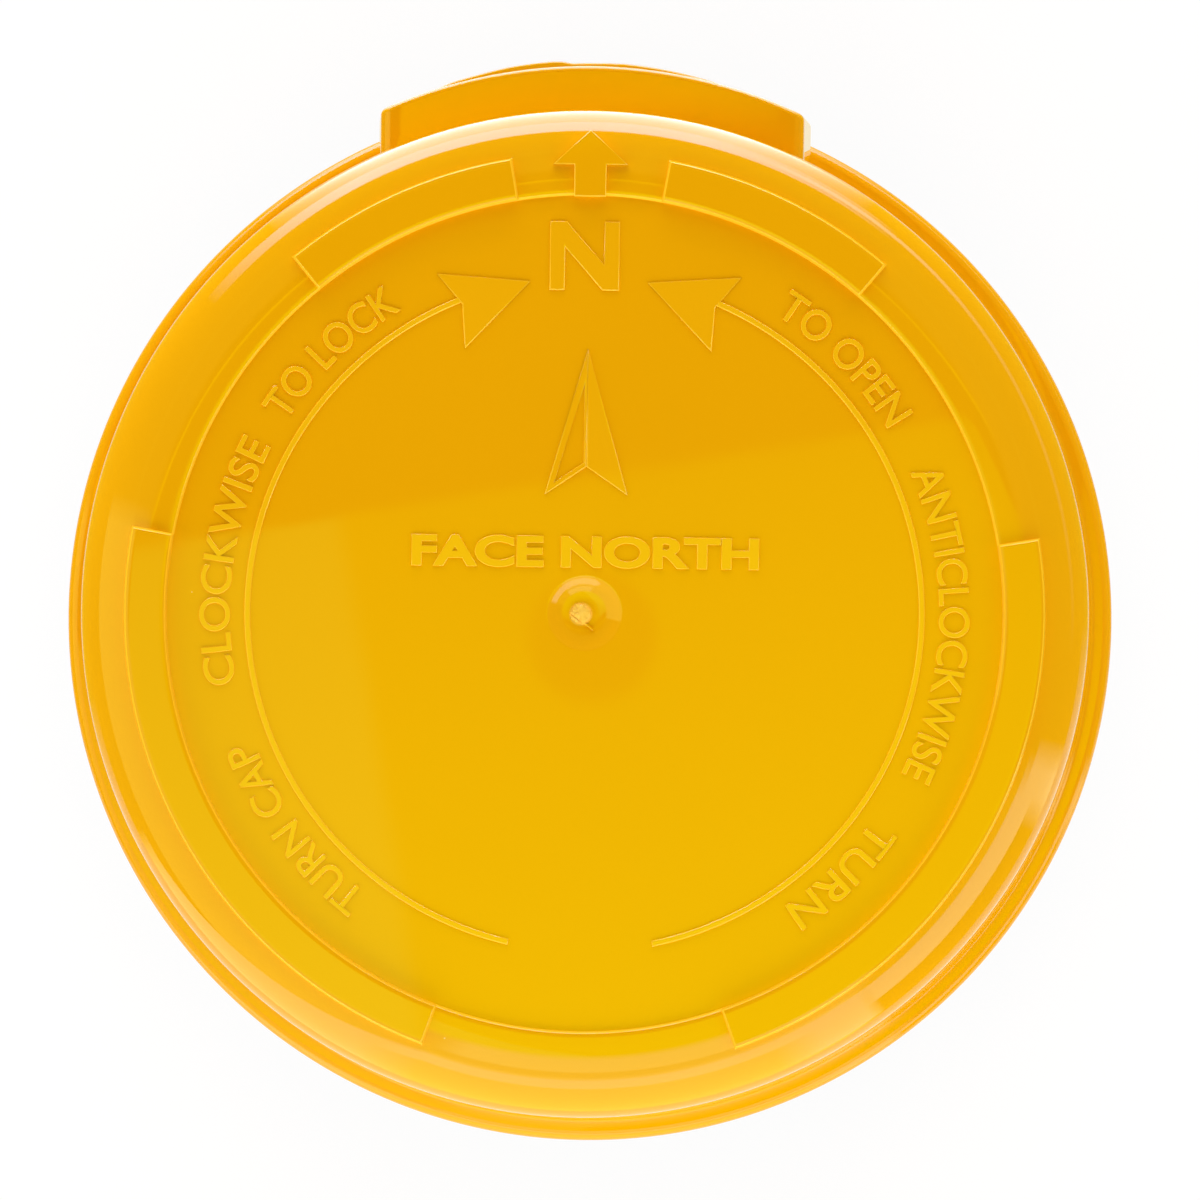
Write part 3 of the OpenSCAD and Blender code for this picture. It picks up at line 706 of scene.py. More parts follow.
# Cover
# One glossy yellow moulding: a drafted cup with a flange at its foot, a rounded shoulder, four
# raised pads round a sunken disc, and a window frame on its north side. It snaps over the base.
cover_low, cover_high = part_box("cover")
flange_r = cover_high.x
pad_h = 0.5 * MM
recess_depth = 0.4 * MM
recess_r = 32.2 * MM
pad_w = 3.1 * MM
pad_spans = [(10, 40), (80, 160)]
edge_w = 0.2 * MM
dimple_r = 2.9 * MM
dimple_depth = 0.4 * MM
shoulder_r = 3.6 * MM
crown_w = 5.4 * MM
draft = math.radians(2)
wall_t = 2 * MM
top_t = 2.2 * MM
flange_h = 6 * MM
flange_ledge = 1.7 * MM
flange_edge_r = 0.8 * MM
foot_fillet_r = 0.35 * MM
rim_edge_r = 0.3 * MM
skirt_t = 2.2 * MM
lug_reach = 0.9 * MM
lug_h = 1.0 * MM
lug_arc_deg = 16
key_w = 4 * MM
key_depth = 1.4 * MM
column_deg = 1.5

rim_z = cover_high.z - pad_h
floor_z = rim_z - recess_depth
flange_top = cover_low.z + flange_h
foot_r = flange_r - flange_ledge
ceiling_z = floor_z - top_t
bore_r = flange_r - skirt_t
base_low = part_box("gasket")[1].z
base_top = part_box("line_blade")[1].z - 1.5 * MM


def wall_radius(z):
    return foot_r - (z - flange_top) * math.tan(draft)


def rounded(share):
    """Height of a step at a share of its width: a sharp foot and a rounded top."""
    return math.sin(math.pi / 2 * min(1.0, max(0.0, share)))


def arc(centre, radius, first_deg, last_deg, steps):
    """Points of (radius, height, no lift) on an arc of the section."""
    angles = [math.radians(d) for d in evenly(first_deg, last_deg, steps)]
    return [(centre[0] + radius * math.cos(a), centre[1] + radius * math.sin(a), 0) for a in angles]


def from_north(turn):
    """Degrees between a turn and the window's side, either way round."""
    off = math.degrees(turn - math.pi / 2) % 360
    return min(off, 360 - off)


pad_edge_deg = math.degrees(edge_w / (recess_r + pad_w / 2))


def pad_height(turn):
    """Height of the pads at a turn, with their ends rounded over."""
    off = from_north(turn)
    shares = [
        rounded((off - first) / pad_edge_deg + 0.5) * rounded((last - off) / pad_edge_deg + 0.5)
        for first, last in pad_spans
    ]
    return pad_h * max(shares)


def cover_columns():
    """Turns of the cover's columns: even steps, and close ones where a pad ends."""
    degrees = {round(i * column_deg, 4) for i in range(round(360 / column_deg))}
    for side in (-1, 1):
        for end in [end for span in pad_spans for end in span]:
            middle = 90 + side * end
            degrees = {d for d in degrees if abs((d - middle + 180) % 360 - 180) > 1.2 * pad_edge_deg}
            degrees |= {round((middle + pad_edge_deg * i / 8) % 360, 4) for i in range(-5, 6)}
    return [math.radians(d) for d in sorted(degrees)]


# The shoulder's section is a quarter of an ellipse that runs out into the wall's draft.
shoulder_end = math.atan(shoulder_r / crown_w * math.tan(draft))
shoulder_end_z = rim_z - shoulder_r * (1 - math.sin(shoulder_end))
crown_r = wall_radius(shoulder_end_z) - crown_w * math.cos(shoulder_end)


def crown_drop(reach):
    """How far the rim has fallen below its level at a distance from the axis."""
    share = max(0.0, (reach - crown_r) / crown_w)
    return shoulder_r * (1 - math.sqrt(1 - share ** 2))


def cover_profile():
    """The cover's whole section, from the middle of its top round to the middle of its ceiling."""
    draft_deg = math.degrees(draft)
    points = []
    for share in evenly(0, 1, 24):
        points.append((dimple_r * share, floor_z - dimple_depth * (1 - share ** 6) ** 2, 0))
    floor_rings = [dimple_r + edge_w / 4, dimple_r + edge_w, 10 * MM, 20 * MM, recess_r - 2 * edge_w]
    points += [(r, floor_z, 0) for r in floor_rings]
    for share in evenly(0, 1, 12):
        step = rounded(share)
        points.append((recess_r + edge_w * (share - 0.5), floor_z + recess_depth * step, step))
    for r in evenly(recess_r + edge_w / 2, recess_r + pad_w - edge_w / 2, 9)[1:-1]:
        points.append((r, rim_z - crown_drop(r), 1 + crown_drop(r) / pad_h))
    for share in evenly(0, 1, 12):
        r = recess_r + pad_w + edge_w * (share - 0.5)
        points.append((r, rim_z - crown_drop(r), (1 + crown_drop(r) / pad_h) * rounded(1 - share)))
    last_turn = math.acos((points[-1][0] - crown_r) / crown_w)
    for turn in evenly(last_turn, shoulder_end, 40)[1:]:
        points.append((crown_r + crown_w * math.cos(turn), rim_z - shoulder_r * (1 - math.sin(turn)), 0))
    wall_steps = evenly(points[-1][1], flange_top + foot_fillet_r, 8)[1:-1]
    points += [(wall_radius(z), z, 0) for z in wall_steps]
    foot = (wall_radius(flange_top + foot_fillet_r) + foot_fillet_r, flange_top + foot_fillet_r)
    points += arc(foot, foot_fillet_r, 180, 270, 5)
    points += arc((flange_r - flange_edge_r, flange_top - flange_edge_r), flange_edge_r, 90, 0, 9)
    points += arc((flange_r - rim_edge_r, cover_low.z + rim_edge_r), rim_edge_r, 0, -90, 4)
    points += arc((bore_r + rim_edge_r, cover_low.z + rim_edge_r), rim_edge_r, -90, -180, 4)
    inner_in = wall_t / math.cos(draft)
    points += [(bore_r, base_top, 0), (wall_radius(base_top) - inner_in, base_top, 0)]
    ceiling_r = shoulder_r - wall_t
    ceiling_edge_z = ceiling_z - ceiling_r
    ceiling_edge = (wall_radius(ceiling_edge_z) - shoulder_r / math.cos(draft), ceiling_edge_z)
    points += arc(ceiling_edge, ceiling_r, draft_deg, 90, 10)
    points += [(20 * MM, ceiling_z, 0), (0, ceiling_z, 0)]
    return points


# The window frame's section runs round a rounded rectangle; the wall behind it is opened.
frame_half_top = 16.4 * MM
frame_draft = math.radians(1.75)
frame_z = flange_top + 11.5 * MM
frame_top = frame_z + 25 * MM
frame_out = 3.5 * MM
frame_border = 3.4 * MM
frame_edge_r = 0.35 * MM
edge_hold = 0.04 * MM
frame_corner_r = 0.8 * MM
window_corner_r = 2 * MM
frame_embed = 1 * MM
sill_h = 2 * MM
sill_points = [
    (-14, 0), (-12.9, 0.35), (-11.5, 0.59), (-9.2, 0.67), (-6.7, 0.8), (-3.5, 0.84), (-2.6, 0.78),
    (-1.9, 0.6), (0, 0.6), (2.3, 0.64), (4.7, 0.56), (7, 0.47), (9.5, 0.33), (11, 0),
]
sill_shape = [(x * MM, out * MM) for x, out in sill_points]


def frame_half_w(z):
    return frame_half_top + (frame_top - z) * math.tan(frame_draft)


def frame_face_y(x, z):
    return frame_out + math.sqrt(wall_radius(z) ** 2 - x ** 2)


def rounded_outline(inset, corner_r):
    """Points (x, z) round the frame's outline moved in by an inset, with its sides drafted."""
    middle_z = (frame_z + frame_top) / 2
    half_h = (frame_top - frame_z) / 2 - inset
    half_w = frame_half_w(middle_z) - inset
    points = []
    corners = [(1, 1), (-1, 1), (-1, -1), (1, -1)]
    for index, (sx, sz) in enumerate(corners):
        for a in evenly(math.pi / 2 * index, math.pi / 2 * (index + 1), 6):
            x = sx * (half_w - corner_r) + corner_r * math.cos(a)
            points.append((x, sz * (half_h - corner_r) + corner_r * math.sin(a)))
        next_x, next_z = corners[(index + 1) % 4]
        along_x = next_x != sx
        steps = 24 if along_x else 10
        start = points[-1]
        end_x = next_x * (half_w - corner_r) if along_x else start[0]
        end_z = start[1] if along_x else next_z * (half_h - corner_r)
        for share in evenly(0, 1, steps)[1:-1]:
            points.append((start[0] + (end_x - start[0]) * share, start[1] + (end_z - start[1]) * share))
    return [(x * (frame_half_w(middle_z + z) - inset) / half_w, middle_z + z) for x, z in points]


def frame_mesh():
    """The frame as a ring: its section of (inset, depth, corner radius) swept round the outline."""
    back = frame_out + frame_embed
    section = [(0, back, frame_corner_r), (0, frame_out / 2, frame_corner_r)]
    # A row close behind the rounded front edge keeps the sides' shading flat.
    section.append((0, frame_edge_r + edge_hold, frame_corner_r))
    for a in evenly(0, math.pi / 2, 6):
        section.append((frame_edge_r * (1 - math.cos(a)), frame_edge_r * (1 - math.sin(a)), frame_corner_r))
    for a in evenly(0, math.pi / 2, 5):
        inset = frame_border - frame_edge_r * (1 - math.sin(a))
        section.append((inset, frame_edge_r * (1 - math.cos(a)), window_corner_r))
    section += [(frame_border, wall_t, window_corner_r), (wall_t, wall_t, frame_corner_r)]
    section.append((wall_t, back, frame_corner_r))
    bm = bmesh.new()
    loops = []
    for inset, depth, corner_r in section:
        outline = rounded_outline(inset, corner_r)
        loops.append([bm.verts.new((x, frame_face_y(x, z) - depth, z)) for x, z in outline])
    skin(bm, loops + loops[:1])
    return closed_mesh("window_frame", bm)


def prism_mesh(name, outline, z_low, z_high, edge):
    """A plan outline raised between two heights, with its upper edge rounded over."""
    bm = bmesh.new()
    floor = bm.faces.new([bm.verts.new((x, y, z_low)) for x, y in outline])
    raised = bmesh.ops.extrude_face_region(bm, geom=[floor])["geom"]
    top_verts = [part for part in raised if isinstance(part, bmesh.types.BMVert)]
    bmesh.ops.translate(bm, verts=top_verts, vec=(0, 0, z_high - z_low))
    top_edges = [e for e in bm.edges if all(v in top_verts for v in e.verts)]
    bmesh.ops.bevel(bm, geom=top_edges, offset=edge, segments=3, profile=0.5, affect="EDGES")
    return closed_mesh(name, bm)


def sill_reach(x):
    """How far the sill stands out from the frame's face at a place across it."""
    for (x0, out0), (x1, out1) in zip(sill_shape, sill_shape[1:]):
        if x0 <= x <= x1:
            return out0 + (out1 - out0) * (x - x0) / (x1 - x0)
    return 0.0


def sill_mesh():
    """The thin sill at the frame's foot, fuller towards the west."""
    xs = evenly(sill_shape[-1][0], sill_shape[0][0], 80)
    bow = [(x, frame_face_y(x, frame_z) + sill_reach(x)) for x in xs]
    behind = [(x, frame_face_y(x, frame_z) - sill_h) for x in reversed(xs)]
    return prism_mesh("sill", bow + behind, frame_z + 0.01 * MM, frame_z + sill_h, 0.2 * MM)


gate_place = Vector((-0.28 * MM, -0.05 * MM, floor_z - 0.1 * MM))


def gate_mesh():
    """The broken stub of the moulding gate: a ragged cap, a flake torn down beside it and a tail of flash."""
    stub_r = 0.82 * MM
    dimple_low = floor_z - dimple_depth
    rows = [(0, 0), (0.25, 0), (0.5, -0.01), (0.7, -0.03), (0.86, -0.08), (1, -0.22)]
    profile = [(stub_r * share, gate_place.z + fall * MM, 0) for share, fall in rows]
    profile += [(1.1 * stub_r, dimple_low - 0.3 * MM, 0), (0, dimple_low - 0.3 * MM, 0)]
    mesh = turned_mesh("gate", profile, fastener_turns)
    tear_off = 0.5 * MM
    tear_across = Vector((-0.62, -0.78, 0))
    for vertex in mesh.vertices:
        if vertex.co.z > dimple_low:
            flake = tear_across.dot(vertex.co) > tear_off
            ragged = 0.5 - vertex.co.x / (2 * stub_r)
            torn = noise.noise(vertex.co / (0.24 * MM) + Vector((3, 7, 1)))
            vertex.co += Vector((-0.3 * ragged * torn, 0.1 * torn, 0.12 * torn - 0.14 * flake)) * MM
    tear = block_mesh("tear", Vector((-1, -0.04, -0.2)) * MM, Vector((0.5, 0.04, 1)) * MM)
    tear_place = Matrix.Translation(tear_off * tear_across + Vector((0, 0, gate_place.z)))
    tear.transform(tear_place @ Matrix.Rotation(math.atan2(tear_across.x, -tear_across.y), 4, "Z"))
    mesh = combined(mesh, tear, "DIFFERENCE")
    tail = [(x * MM, y * MM) for x, y in [(-0.05, -0.55), (0.92, -1.28), (1.0, -1.2), (0.2, -0.5)]]
    tail_mesh = prism_mesh("tail", tail, dimple_low - 0.1 * MM, dimple_low + 0.16 * MM, 0.02 * MM)
    mesh = combined(mesh, tail_mesh, "UNION")
    mesh.transform(Matrix.Translation((gate_place.x, gate_place.y, 0)))
    return mesh


def lug_mesh(middle):
    """A snap lug under the base's edge: a wedge-shaped section swept along the bore."""
    seat_r = bore_r + skirt_t / 2
    section = [
        (seat_r, base_low), (bore_r - lug_reach, base_low), (bore_r - lug_reach, base_low - lug_h / 3),
        (bore_r, base_low - lug_h), (seat_r, base_low - lug_h),
    ]
    bm = bmesh.new()
    half_arc = math.radians(lug_arc_deg) / 2
    turns = evenly(middle - half_arc, middle + half_arc, 8)
    rings = [
        [bm.verts.new((r * math.cos(turn), r * math.sin(turn), z)) for r, z in section]
        for turn in turns
    ]
    skin(bm, rings)
    bm.faces.new(rings[0])
    bm.faces.new(rings[-1])
    return closed_mesh("lug", bm)


def joined(name, meshes):
    """Separate solids in one mesh."""
    bm = bmesh.new()
    for mesh in meshes:
        bm.from_mesh(mesh)
    bmesh.ops.remove_doubles(bm, verts=bm.verts, dist=0.002 * MM)
    return closed_mesh(name, bm)


def cover_finish(name, yellow, top_r):
    """Glossy yellow plastic with slow waves in its gloss and specks within a radius, where its sloped edges
    are painted paler as a painted highlight.
    """
    painted_highlight_yellow = (0.93, 0.55, 0.02, 1)
    material, tree, shader = blank_finish(name)
    place = object_place(tree)
    flat_place = flattened(tree, place)
    reach = vector_worked(tree, "LENGTH", flat_place)
    on_top = ramp(tree, parts_of(tree, place)[2], floor_z - 0.05 * MM, floor_z, 0, 1)
    inside = ramp(tree, reach, top_r, top_r + edge_w, 1, 0)
    top_face = worked(tree, "MULTIPLY", on_top, inside)

    drift = noise_at(tree, place, 26 * MM, 2.0)
    colours = blend(tree, drift, tinted(yellow, 0.975), tinted(yellow, 1.02))
    cells = add_node(tree, "ShaderNodeTexVoronoi", {"Vector": flat_place, "Scale": 1 / (5 * MM)}).outputs
    cell_parts = parts_of(tree, cells[1])
    speck_r = ramp(tree, cell_parts[1], 0, 1, 0.006, 0.022)
    speck = worked(tree, "LESS_THAN", cells[0], speck_r)
    for share in (beyond(tree, cell_parts[0], 0.6), top_face):
        speck = worked(tree, "MULTIPLY", speck, share)
    colours = blend(tree, speck, colours, (0.95, 0.66, 0.22, 1))

    # Sloped faces within the radius are painted a paler yellow: a painted highlight for edges that catch the
    # light.
    facing = add_node(tree, "ShaderNodeTexCoord", {}).outputs["Normal"]
    slope = ramp(tree, parts_of(tree, facing)[2], 0.97, 0.7, 0, 1)
    colours = blend(tree, worked(tree, "MULTIPLY", slope, top_face), colours, painted_highlight_yellow)
    torn = ramp(tree, vector_worked(tree, "DISTANCE", place, gate_place), 0.8 * MM, 1.0 * MM, 1, 0)
    torn_colour = blend(tree, noise_at(tree, place, 0.4 * MM), (0.8, 0.38, 0.003, 1), (0.93, 0.6, 0.1, 1))
    polish = spread(tree, noise_at(tree, place, 11 * MM), 0.012, 0.025)
    dulled = ramp(tree, torn, 0, 1, 0, 0.4)
    feed(tree, shader, {
        "Base Color": blend(tree, torn, colours, torn_colour),
        "Roughness": worked(tree, "MAXIMUM", polish, dulled),
        "Normal": bump(tree, noise_at(tree, place, 7 * MM, 1.0), 0.0012 * MM),
    })
    return material


cover_mesh = turned_mesh("cover", cover_profile(), cover_columns(), pad_height)
opening_inset = 1.2 * MM
wall_opening = block_mesh(
    "wall_opening",
    (opening_inset - frame_half_top, foot_r / 2, frame_z + opening_inset),
    (frame_half_top - opening_inset, 2 * foot_r, frame_top - opening_inset),
)
cover_mesh = combined(cover_mesh, wall_opening, "DIFFERENCE")
frame_and_sill = combined(frame_mesh(), sill_mesh(), "UNION")
cover_mesh = combined(cover_mesh, frame_and_sill, "UNION")
cover_mesh = combined(cover_mesh, gate_mesh(), "UNION")
fittings = [lug_mesh(math.radians(45 + 90 * i)) for i in range(4)]
key_low = (-key_w / 2, -bore_r - skirt_t / 2, base_low)
key_high = (key_w / 2, key_depth - bore_r, base_top)
fittings.append(block_mesh("key", key_low, key_high))
cover_mesh = combined(cover_mesh, joined("fittings", fittings), "UNION")
cover_yellow = (0.8, 0.36, 0.001, 1)
pads_r = recess_r + pad_w + edge_w
yellow_finish = cover_finish("yellow_cover_plastic", cover_yellow, pads_r)
piece_from("cover_moulding", cover_mesh, yellow_finish, "cover_plastic", "cover")


# Raised signs
# Flat-topped marks moulded with the cover: the north arrow on the rim, a compass needle and
# letter, two turning arrows, and plain words for turning the switch in its socket.
sign_h = 0.15 * MM
sign_edge = 0.1 * MM
word_edge = 0.045 * MM
sign_foot = 0.1 * MM


def sign_mesh(name, outlines, z_low, z_high, edge):
    """Flat outlines in millimetres raised between two heights, with rounded upper edges."""
    curve = bpy.data.curves.new(name, "CURVE")
    curve.dimensions = "2D"
    for outline in outlines:
        add_line(curve, [(x * MM, y * MM, 0) for x, y in outline]).use_cyclic_u = True
    return solid_sign(name, curve, z_low, z_high, edge)


def solid_sign(name, curve, z_low, z_high, edge, weight=0.0):
    """A flat curve or words made solid between two heights, with strokes fattened by a weight."""
    curve.fill_mode = "BOTH"
    curve.extrude = (z_high - z_low) / 2 - edge
    curve.bevel_depth = edge
    curve.bevel_resolution = 2
    curve.offset = weight - edge
    mesh = baked(linked(name, curve))
    mesh.transform(Matrix.Translation((0, 0, (z_low + z_high) / 2)))
    return mesh


def mirrored(outline):
    return [(-x, y) for x, y in reversed(outline)]


def arc_band(radius, width, first_deg, last_deg):
    """Outline of a narrow arc, by degrees clockwise from north."""
    angles = [math.radians(d) for d in evenly(first_deg, last_deg, 72)]
    outer_r = radius + width / 2
    inner_r = radius - width / 2
    outer = [(outer_r * math.sin(a), outer_r * math.cos(a)) for a in angles]
    inner = [(inner_r * math.sin(a), inner_r * math.cos(a)) for a in reversed(angles)]
    return outer + inner


def word_mesh(words, height, width, weight):
    """Words in the plain built-in face, made solid at a height and width in millimetres."""
    text = bpy.data.curves.new(words, "FONT")
    text.body = words
    text.align_x = "CENTER"
    text.size = height * MM / cap_share
    mesh = solid_sign(words, text, floor_z - sign_foot, floor_z + sign_h, word_edge, weight * MM)
    drawn_w = max(v.co.x for v in mesh.vertices) - min(v.co.x for v in mesh.vertices)
    mesh.transform(Matrix.Diagonal((width * MM / drawn_w, 1, 1, 1)))
    return mesh


def ring_word(words, first_deg, last_deg):
    """A word bent round the ring, by degrees clockwise from north, with its letters' heads out."""
    middle_r = ring_foot_r + ring_letter_h / 2
    mesh = word_mesh(words, ring_letter_h, math.radians(last_deg - first_deg) * middle_r, ring_weight)
    for vertex in mesh.vertices:
        turn = math.radians((first_deg + last_deg) / 2) + vertex.co.x / (middle_r * MM)
        reach = ring_foot_r * MM + vertex.co.y
        vertex.co.x, vertex.co.y = reach * math.sin(turn), reach * math.cos(turn)
    return mesh


cap_share = 0.73
ring_foot_r = 27.27
ring_letter_h = 2.42
ring_weight = 0.04
ring_words = {
    "TURN CAP": (-143, -112), "CLOCKWISE": (-102, -63), "TO LOCK": (-58, -32),
    "TO OPEN": (32, 58), "ANTICLOCKWISE": (66, 116), "TURN": (125, 145),
}
turning_line_r = 25.9
turning_line_w = 0.46
arrow_head = [(4.5, 25.45), (11.7, 25.93), (9.72, 23.6), (9.47, 20.2)]
north_half_w, north_foot, north_head, north_stem = 2.675, 24.8, 30.1, 1.17
north_plain = [
    (-north_half_w, north_foot), (-north_half_w, north_head), (-north_half_w + 1.1 * north_stem, north_head),
    (north_half_w - north_stem, north_foot + 1.7 * north_stem), (north_half_w - north_stem, north_head),
    (north_half_w, north_head), (north_half_w, north_foot), (north_half_w - 1.1 * north_stem, north_foot),
    (-north_half_w + north_stem, north_head - 1.7 * north_stem), (-north_half_w + north_stem, north_foot),
]
north_shift = 0.36
north_letter = [(x - north_shift, y) for x, y in north_plain]
needle_right = [(0, 20.3), (3.2, 9.07), (0, 11.25)]
needle_left = [(0, 20.3), (0, 11.25), (-3.2, 9.07)]
needle_hollow = [(-0.22, 17.6), (-2.45, 10.05), (-0.22, 11.56)]
flat_signs = [north_letter, arrow_head, mirrored(arrow_head)]
sign_levels = (floor_z - sign_foot, floor_z + sign_h, sign_edge)
sign_meshes = [sign_mesh("sign", [outline], *sign_levels) for outline in flat_signs]
sign_meshes.append(sign_mesh("needle_right", [needle_right], *sign_levels))
sign_meshes.append(sign_mesh("needle_left", [needle_left, needle_hollow], *sign_levels))
# The signs' yellow is a little lighter than the cover's: a painted highlight standing for their lit edges.
sign_finish = cover_finish("sign_highlight_yellow_plastic", (0.825, 0.39, 0.002, 1), pads_r)
piece_from("cover_signs", joined("cover_signs", sign_meshes), sign_finish, "cover_plastic")

turning_spans = ((22.5, 167.7), (-167.7, -22.5))
turning_lines = [arc_band(turning_line_r, turning_line_w, *span) for span in turning_spans]
fine_meshes = [sign_mesh("turning_line", [line], *sign_levels) for line in turning_lines]
fine_meshes += [ring_word(words, *span) for words, span in ring_words.items()]
facing_letter_h = 2.3
facing_w = 26.7
facing_weight = 0.13
facing_foot = 3.63 * MM
facing_word = word_mesh("FACE NORTH", facing_letter_h, facing_w, facing_weight)
facing_word.transform(Matrix.Translation((0, facing_foot, 0)))
fine_meshes.append(facing_word)
# The fine signs are painted a lighter yellow than the cover: a painted highlight standing for their lit
# edges.
painted_highlight_finish = cover_finish("painted_highlight_yellow_plastic", (0.86, 0.45, 0.004, 1), pads_r)
piece_from("cover_fine_signs", joined("cover_fine_signs", fine_meshes), painted_highlight_finish, "cover_plastic")

rim_arrow = [
    (0, 37.1), (-2.86, 34.45), (-1.23, 34.45), (-1.23, 32.0),
    (1.23, 32.0), (1.23, 34.45), (2.86, 34.45),
]
rim_arrow_foot = rim_z - 1.2 * MM
rim_arrow_mesh = sign_mesh("rim_arrow", [rim_arrow], rim_arrow_foot, cover_high.z, sign_edge)
arrow_finish = cover_finish("yellow_arrow_plastic", cover_yellow, flange_r)
piece_from("rim_arrow", joined("rim_arrow", [rim_arrow_mesh]), arrow_finish, "cover_plastic")


# Studio
# A pale floor under the blades' tips, soft sheets of light round the part, and a tent whose
# panels only the gloss mirrors. The camera looks straight down on the cover.
stand_z = cad_box[0][2]
floor_half = 4.0
floor_white = (1.02, 1.02, 1.02, 1)
floor_matt = (0.96, 0.96, 0.96, 1)
floor_glow_share = 0.86
tent_r = 1.2
tent_h = 1.5
sheet_turn = math.radians(9.8)
sheet_edge = 0.041
sheet_fade = 0.12
west_edge = -0.055
lens_place = (-0.012, 0.0084, tent_h)
lens_r = 0.0125
lens_fade = 0.001
hood_sheet_first = 0.107
hood_sheet_last = 0.131
hood_glow = (2.4, 2.2, 0, 1)
dim_glow = (0.2, 0.2, 0, 1)
ground_glow = (0.95, 0.88, 0.66, 1)
wall_glow = (0.8, 0.76, 0.05, 1)
level_fade = 2
overhead_first = 74
overhead_last = 80
dome_strength = 0.2
dome_seen = 1.0


def compass(tree, place):
    """Degrees clockwise from the way a place's Y runs."""
    parts = parts_of(tree, place)
    return worked(tree, "DEGREES", worked(tree, "ARCTAN2", parts[0], parts[1]))


def overhead_glow(tree, place):
    """The sheet overhead, brighter to the south and west, with the camera's lens dark before it."""
    def along(*direction):
        return vector_worked(tree, "DOT_PRODUCT", place, direction)

    def past(value, edge, fade):
        return ramp(tree, value, edge - fade, edge + fade, 0, 1)

    eastward = along(math.cos(sheet_turn), math.sin(sheet_turn), 0)
    northward = along(-math.sin(sheet_turn), math.cos(sheet_turn), 0)
    southern = ramp(tree, northward, sheet_edge, sheet_edge - sheet_fade, 0, 1)
    middle = blend(tree, southern, (0.7, 1.25, 0, 1), (2.2, 3.6, 0, 1))
    west = blend(tree, southern, (0.7, 1.85, 0.08, 1), (2.2, 4.2, 0.14, 1))
    glow = blend(tree, past(eastward, west_edge, 0.002), west, middle)
    off_lens = vector_worked(tree, "DISTANCE", place, lens_place)
    lens_shade = ramp(tree, off_lens, lens_r - lens_fade, lens_r + lens_fade, 0.5, 1)
    glow = blend(tree, lens_shade, (0, 0, 0, 1), glow)
    beyond_sheet = blend(tree, past(northward, hood_sheet_first, 0.005), dim_glow, hood_glow)
    beyond_sheet = blend(tree, past(northward, hood_sheet_last, 0.003), beyond_sheet, dim_glow)
    return blend(tree, past(northward, sheet_edge, 0.001), glow, beyond_sheet)


def mirrored_glow(tree):
    """What the part's gloss mirrors: soft panels set out by bearing and elevation in degrees."""
    place = object_place(tree)
    reach = vector_worked(tree, "LENGTH", flattened(tree, place))
    rise = worked(tree, "SUBTRACT", parts_of(tree, place)[2], rim_z)
    elevation = worked(tree, "DEGREES", worked(tree, "ARCTAN2", rise, reach))
    north = compass(tree, place)
    south = compass(tree, vector_worked(tree, "MULTIPLY", place, (-1, -1, 1)))
    leaning = worked(tree, "ADD", elevation, ramp(tree, south, 20, 60, 0, 52))
    # Each panel: its bearing's first and last edge with their fades, its level's span, its glow.
    panels = [
        (south, (-75, 8), (24, 4), elevation, 44, 90, (1.7, 1.9, 0.1, 1)),
        (south, (16, 4), (104, 3), elevation, 16, 90, (2.1, 2.4, 0.4, 1)),
        (south, (-40, 4), (20, 4), elevation, 51, 84, (2.1, 2.4, 0.5, 1)),
        (south, (-40, 4), (20, 4), elevation, 59, 84, (3.3, 3.9, 1.1, 1)),
        (south, (-38, 4), (64, 6), leaning, -90, 54, (2.9, 3.3, 0.9, 1)),
        (south, (20, 8), (64, 8), leaning, -90, 54, (3.1, 3.5, 2.0, 1)),
        (south, (-38, 4), (27, 4), leaning, 36, 51, (3.6, 4.2, 2.1, 1)),
        (south, (-74, 6), (-36, 2), elevation, 20, 50, (3.0, 3.4, 2.2, 1)),
        (south, (-38, 2), (-24, 6), elevation, -14, 50, (3.2, 3.7, 2.4, 1)),
        (south, (-76, 4), (-65, 4), elevation, -90, 42, (3.0, 3.4, 2.2, 1)),
        (south, (-90, 12), (80, 12), elevation, -90, -16, (1.1, 1.15, 1.05, 1)),
        (north, (12, 12), (94, 60), elevation, 8, 17, (1.9, 2.2, 1.5, 1)),
        (north, (12, 12), (54, 28), elevation, 8, 17, (4.2, 4.4, 4.6, 1)),
        (north, (-40, 14), (34, 18), elevation, -40, 2, (5.0, 5.2, 6.6, 1)),
        (north, (-51, 22), (38, 26), elevation, 0, 24, (6.4, 6.8, 9.6, 1)),
    ]
    glow = blend(tree, ramp(tree, elevation, -44, -38, 0, 1), ground_glow, wall_glow)
    for bearing, (first, first_fade), (last, last_fade), level, low, high, panel_glow in panels:
        edges = [
            (bearing, first, first_fade), (bearing, last, -last_fade),
            (level, low, level_fade), (level, high, -level_fade),
        ]
        share = 1.0
        for value, edge, fade in edges:
            share = worked(tree, "MULTIPLY", share, ramp(tree, value, edge, edge + fade, 0, 1))
        glow = blend(tree, share, glow, panel_glow)
    overhead = ramp(tree, elevation, overhead_first, overhead_last, 0, 1)
    return blend(tree, overhead, glow, overhead_glow(tree, place))


def glowing(material, tree, surface):
    """Gives a material its surface, which lights nothing but what mirrors or sees it."""
    tree.links.new(surface, tree.nodes["Material Output"].inputs["Surface"])
    material.cycles.emission_sampling = "NONE"
    return material


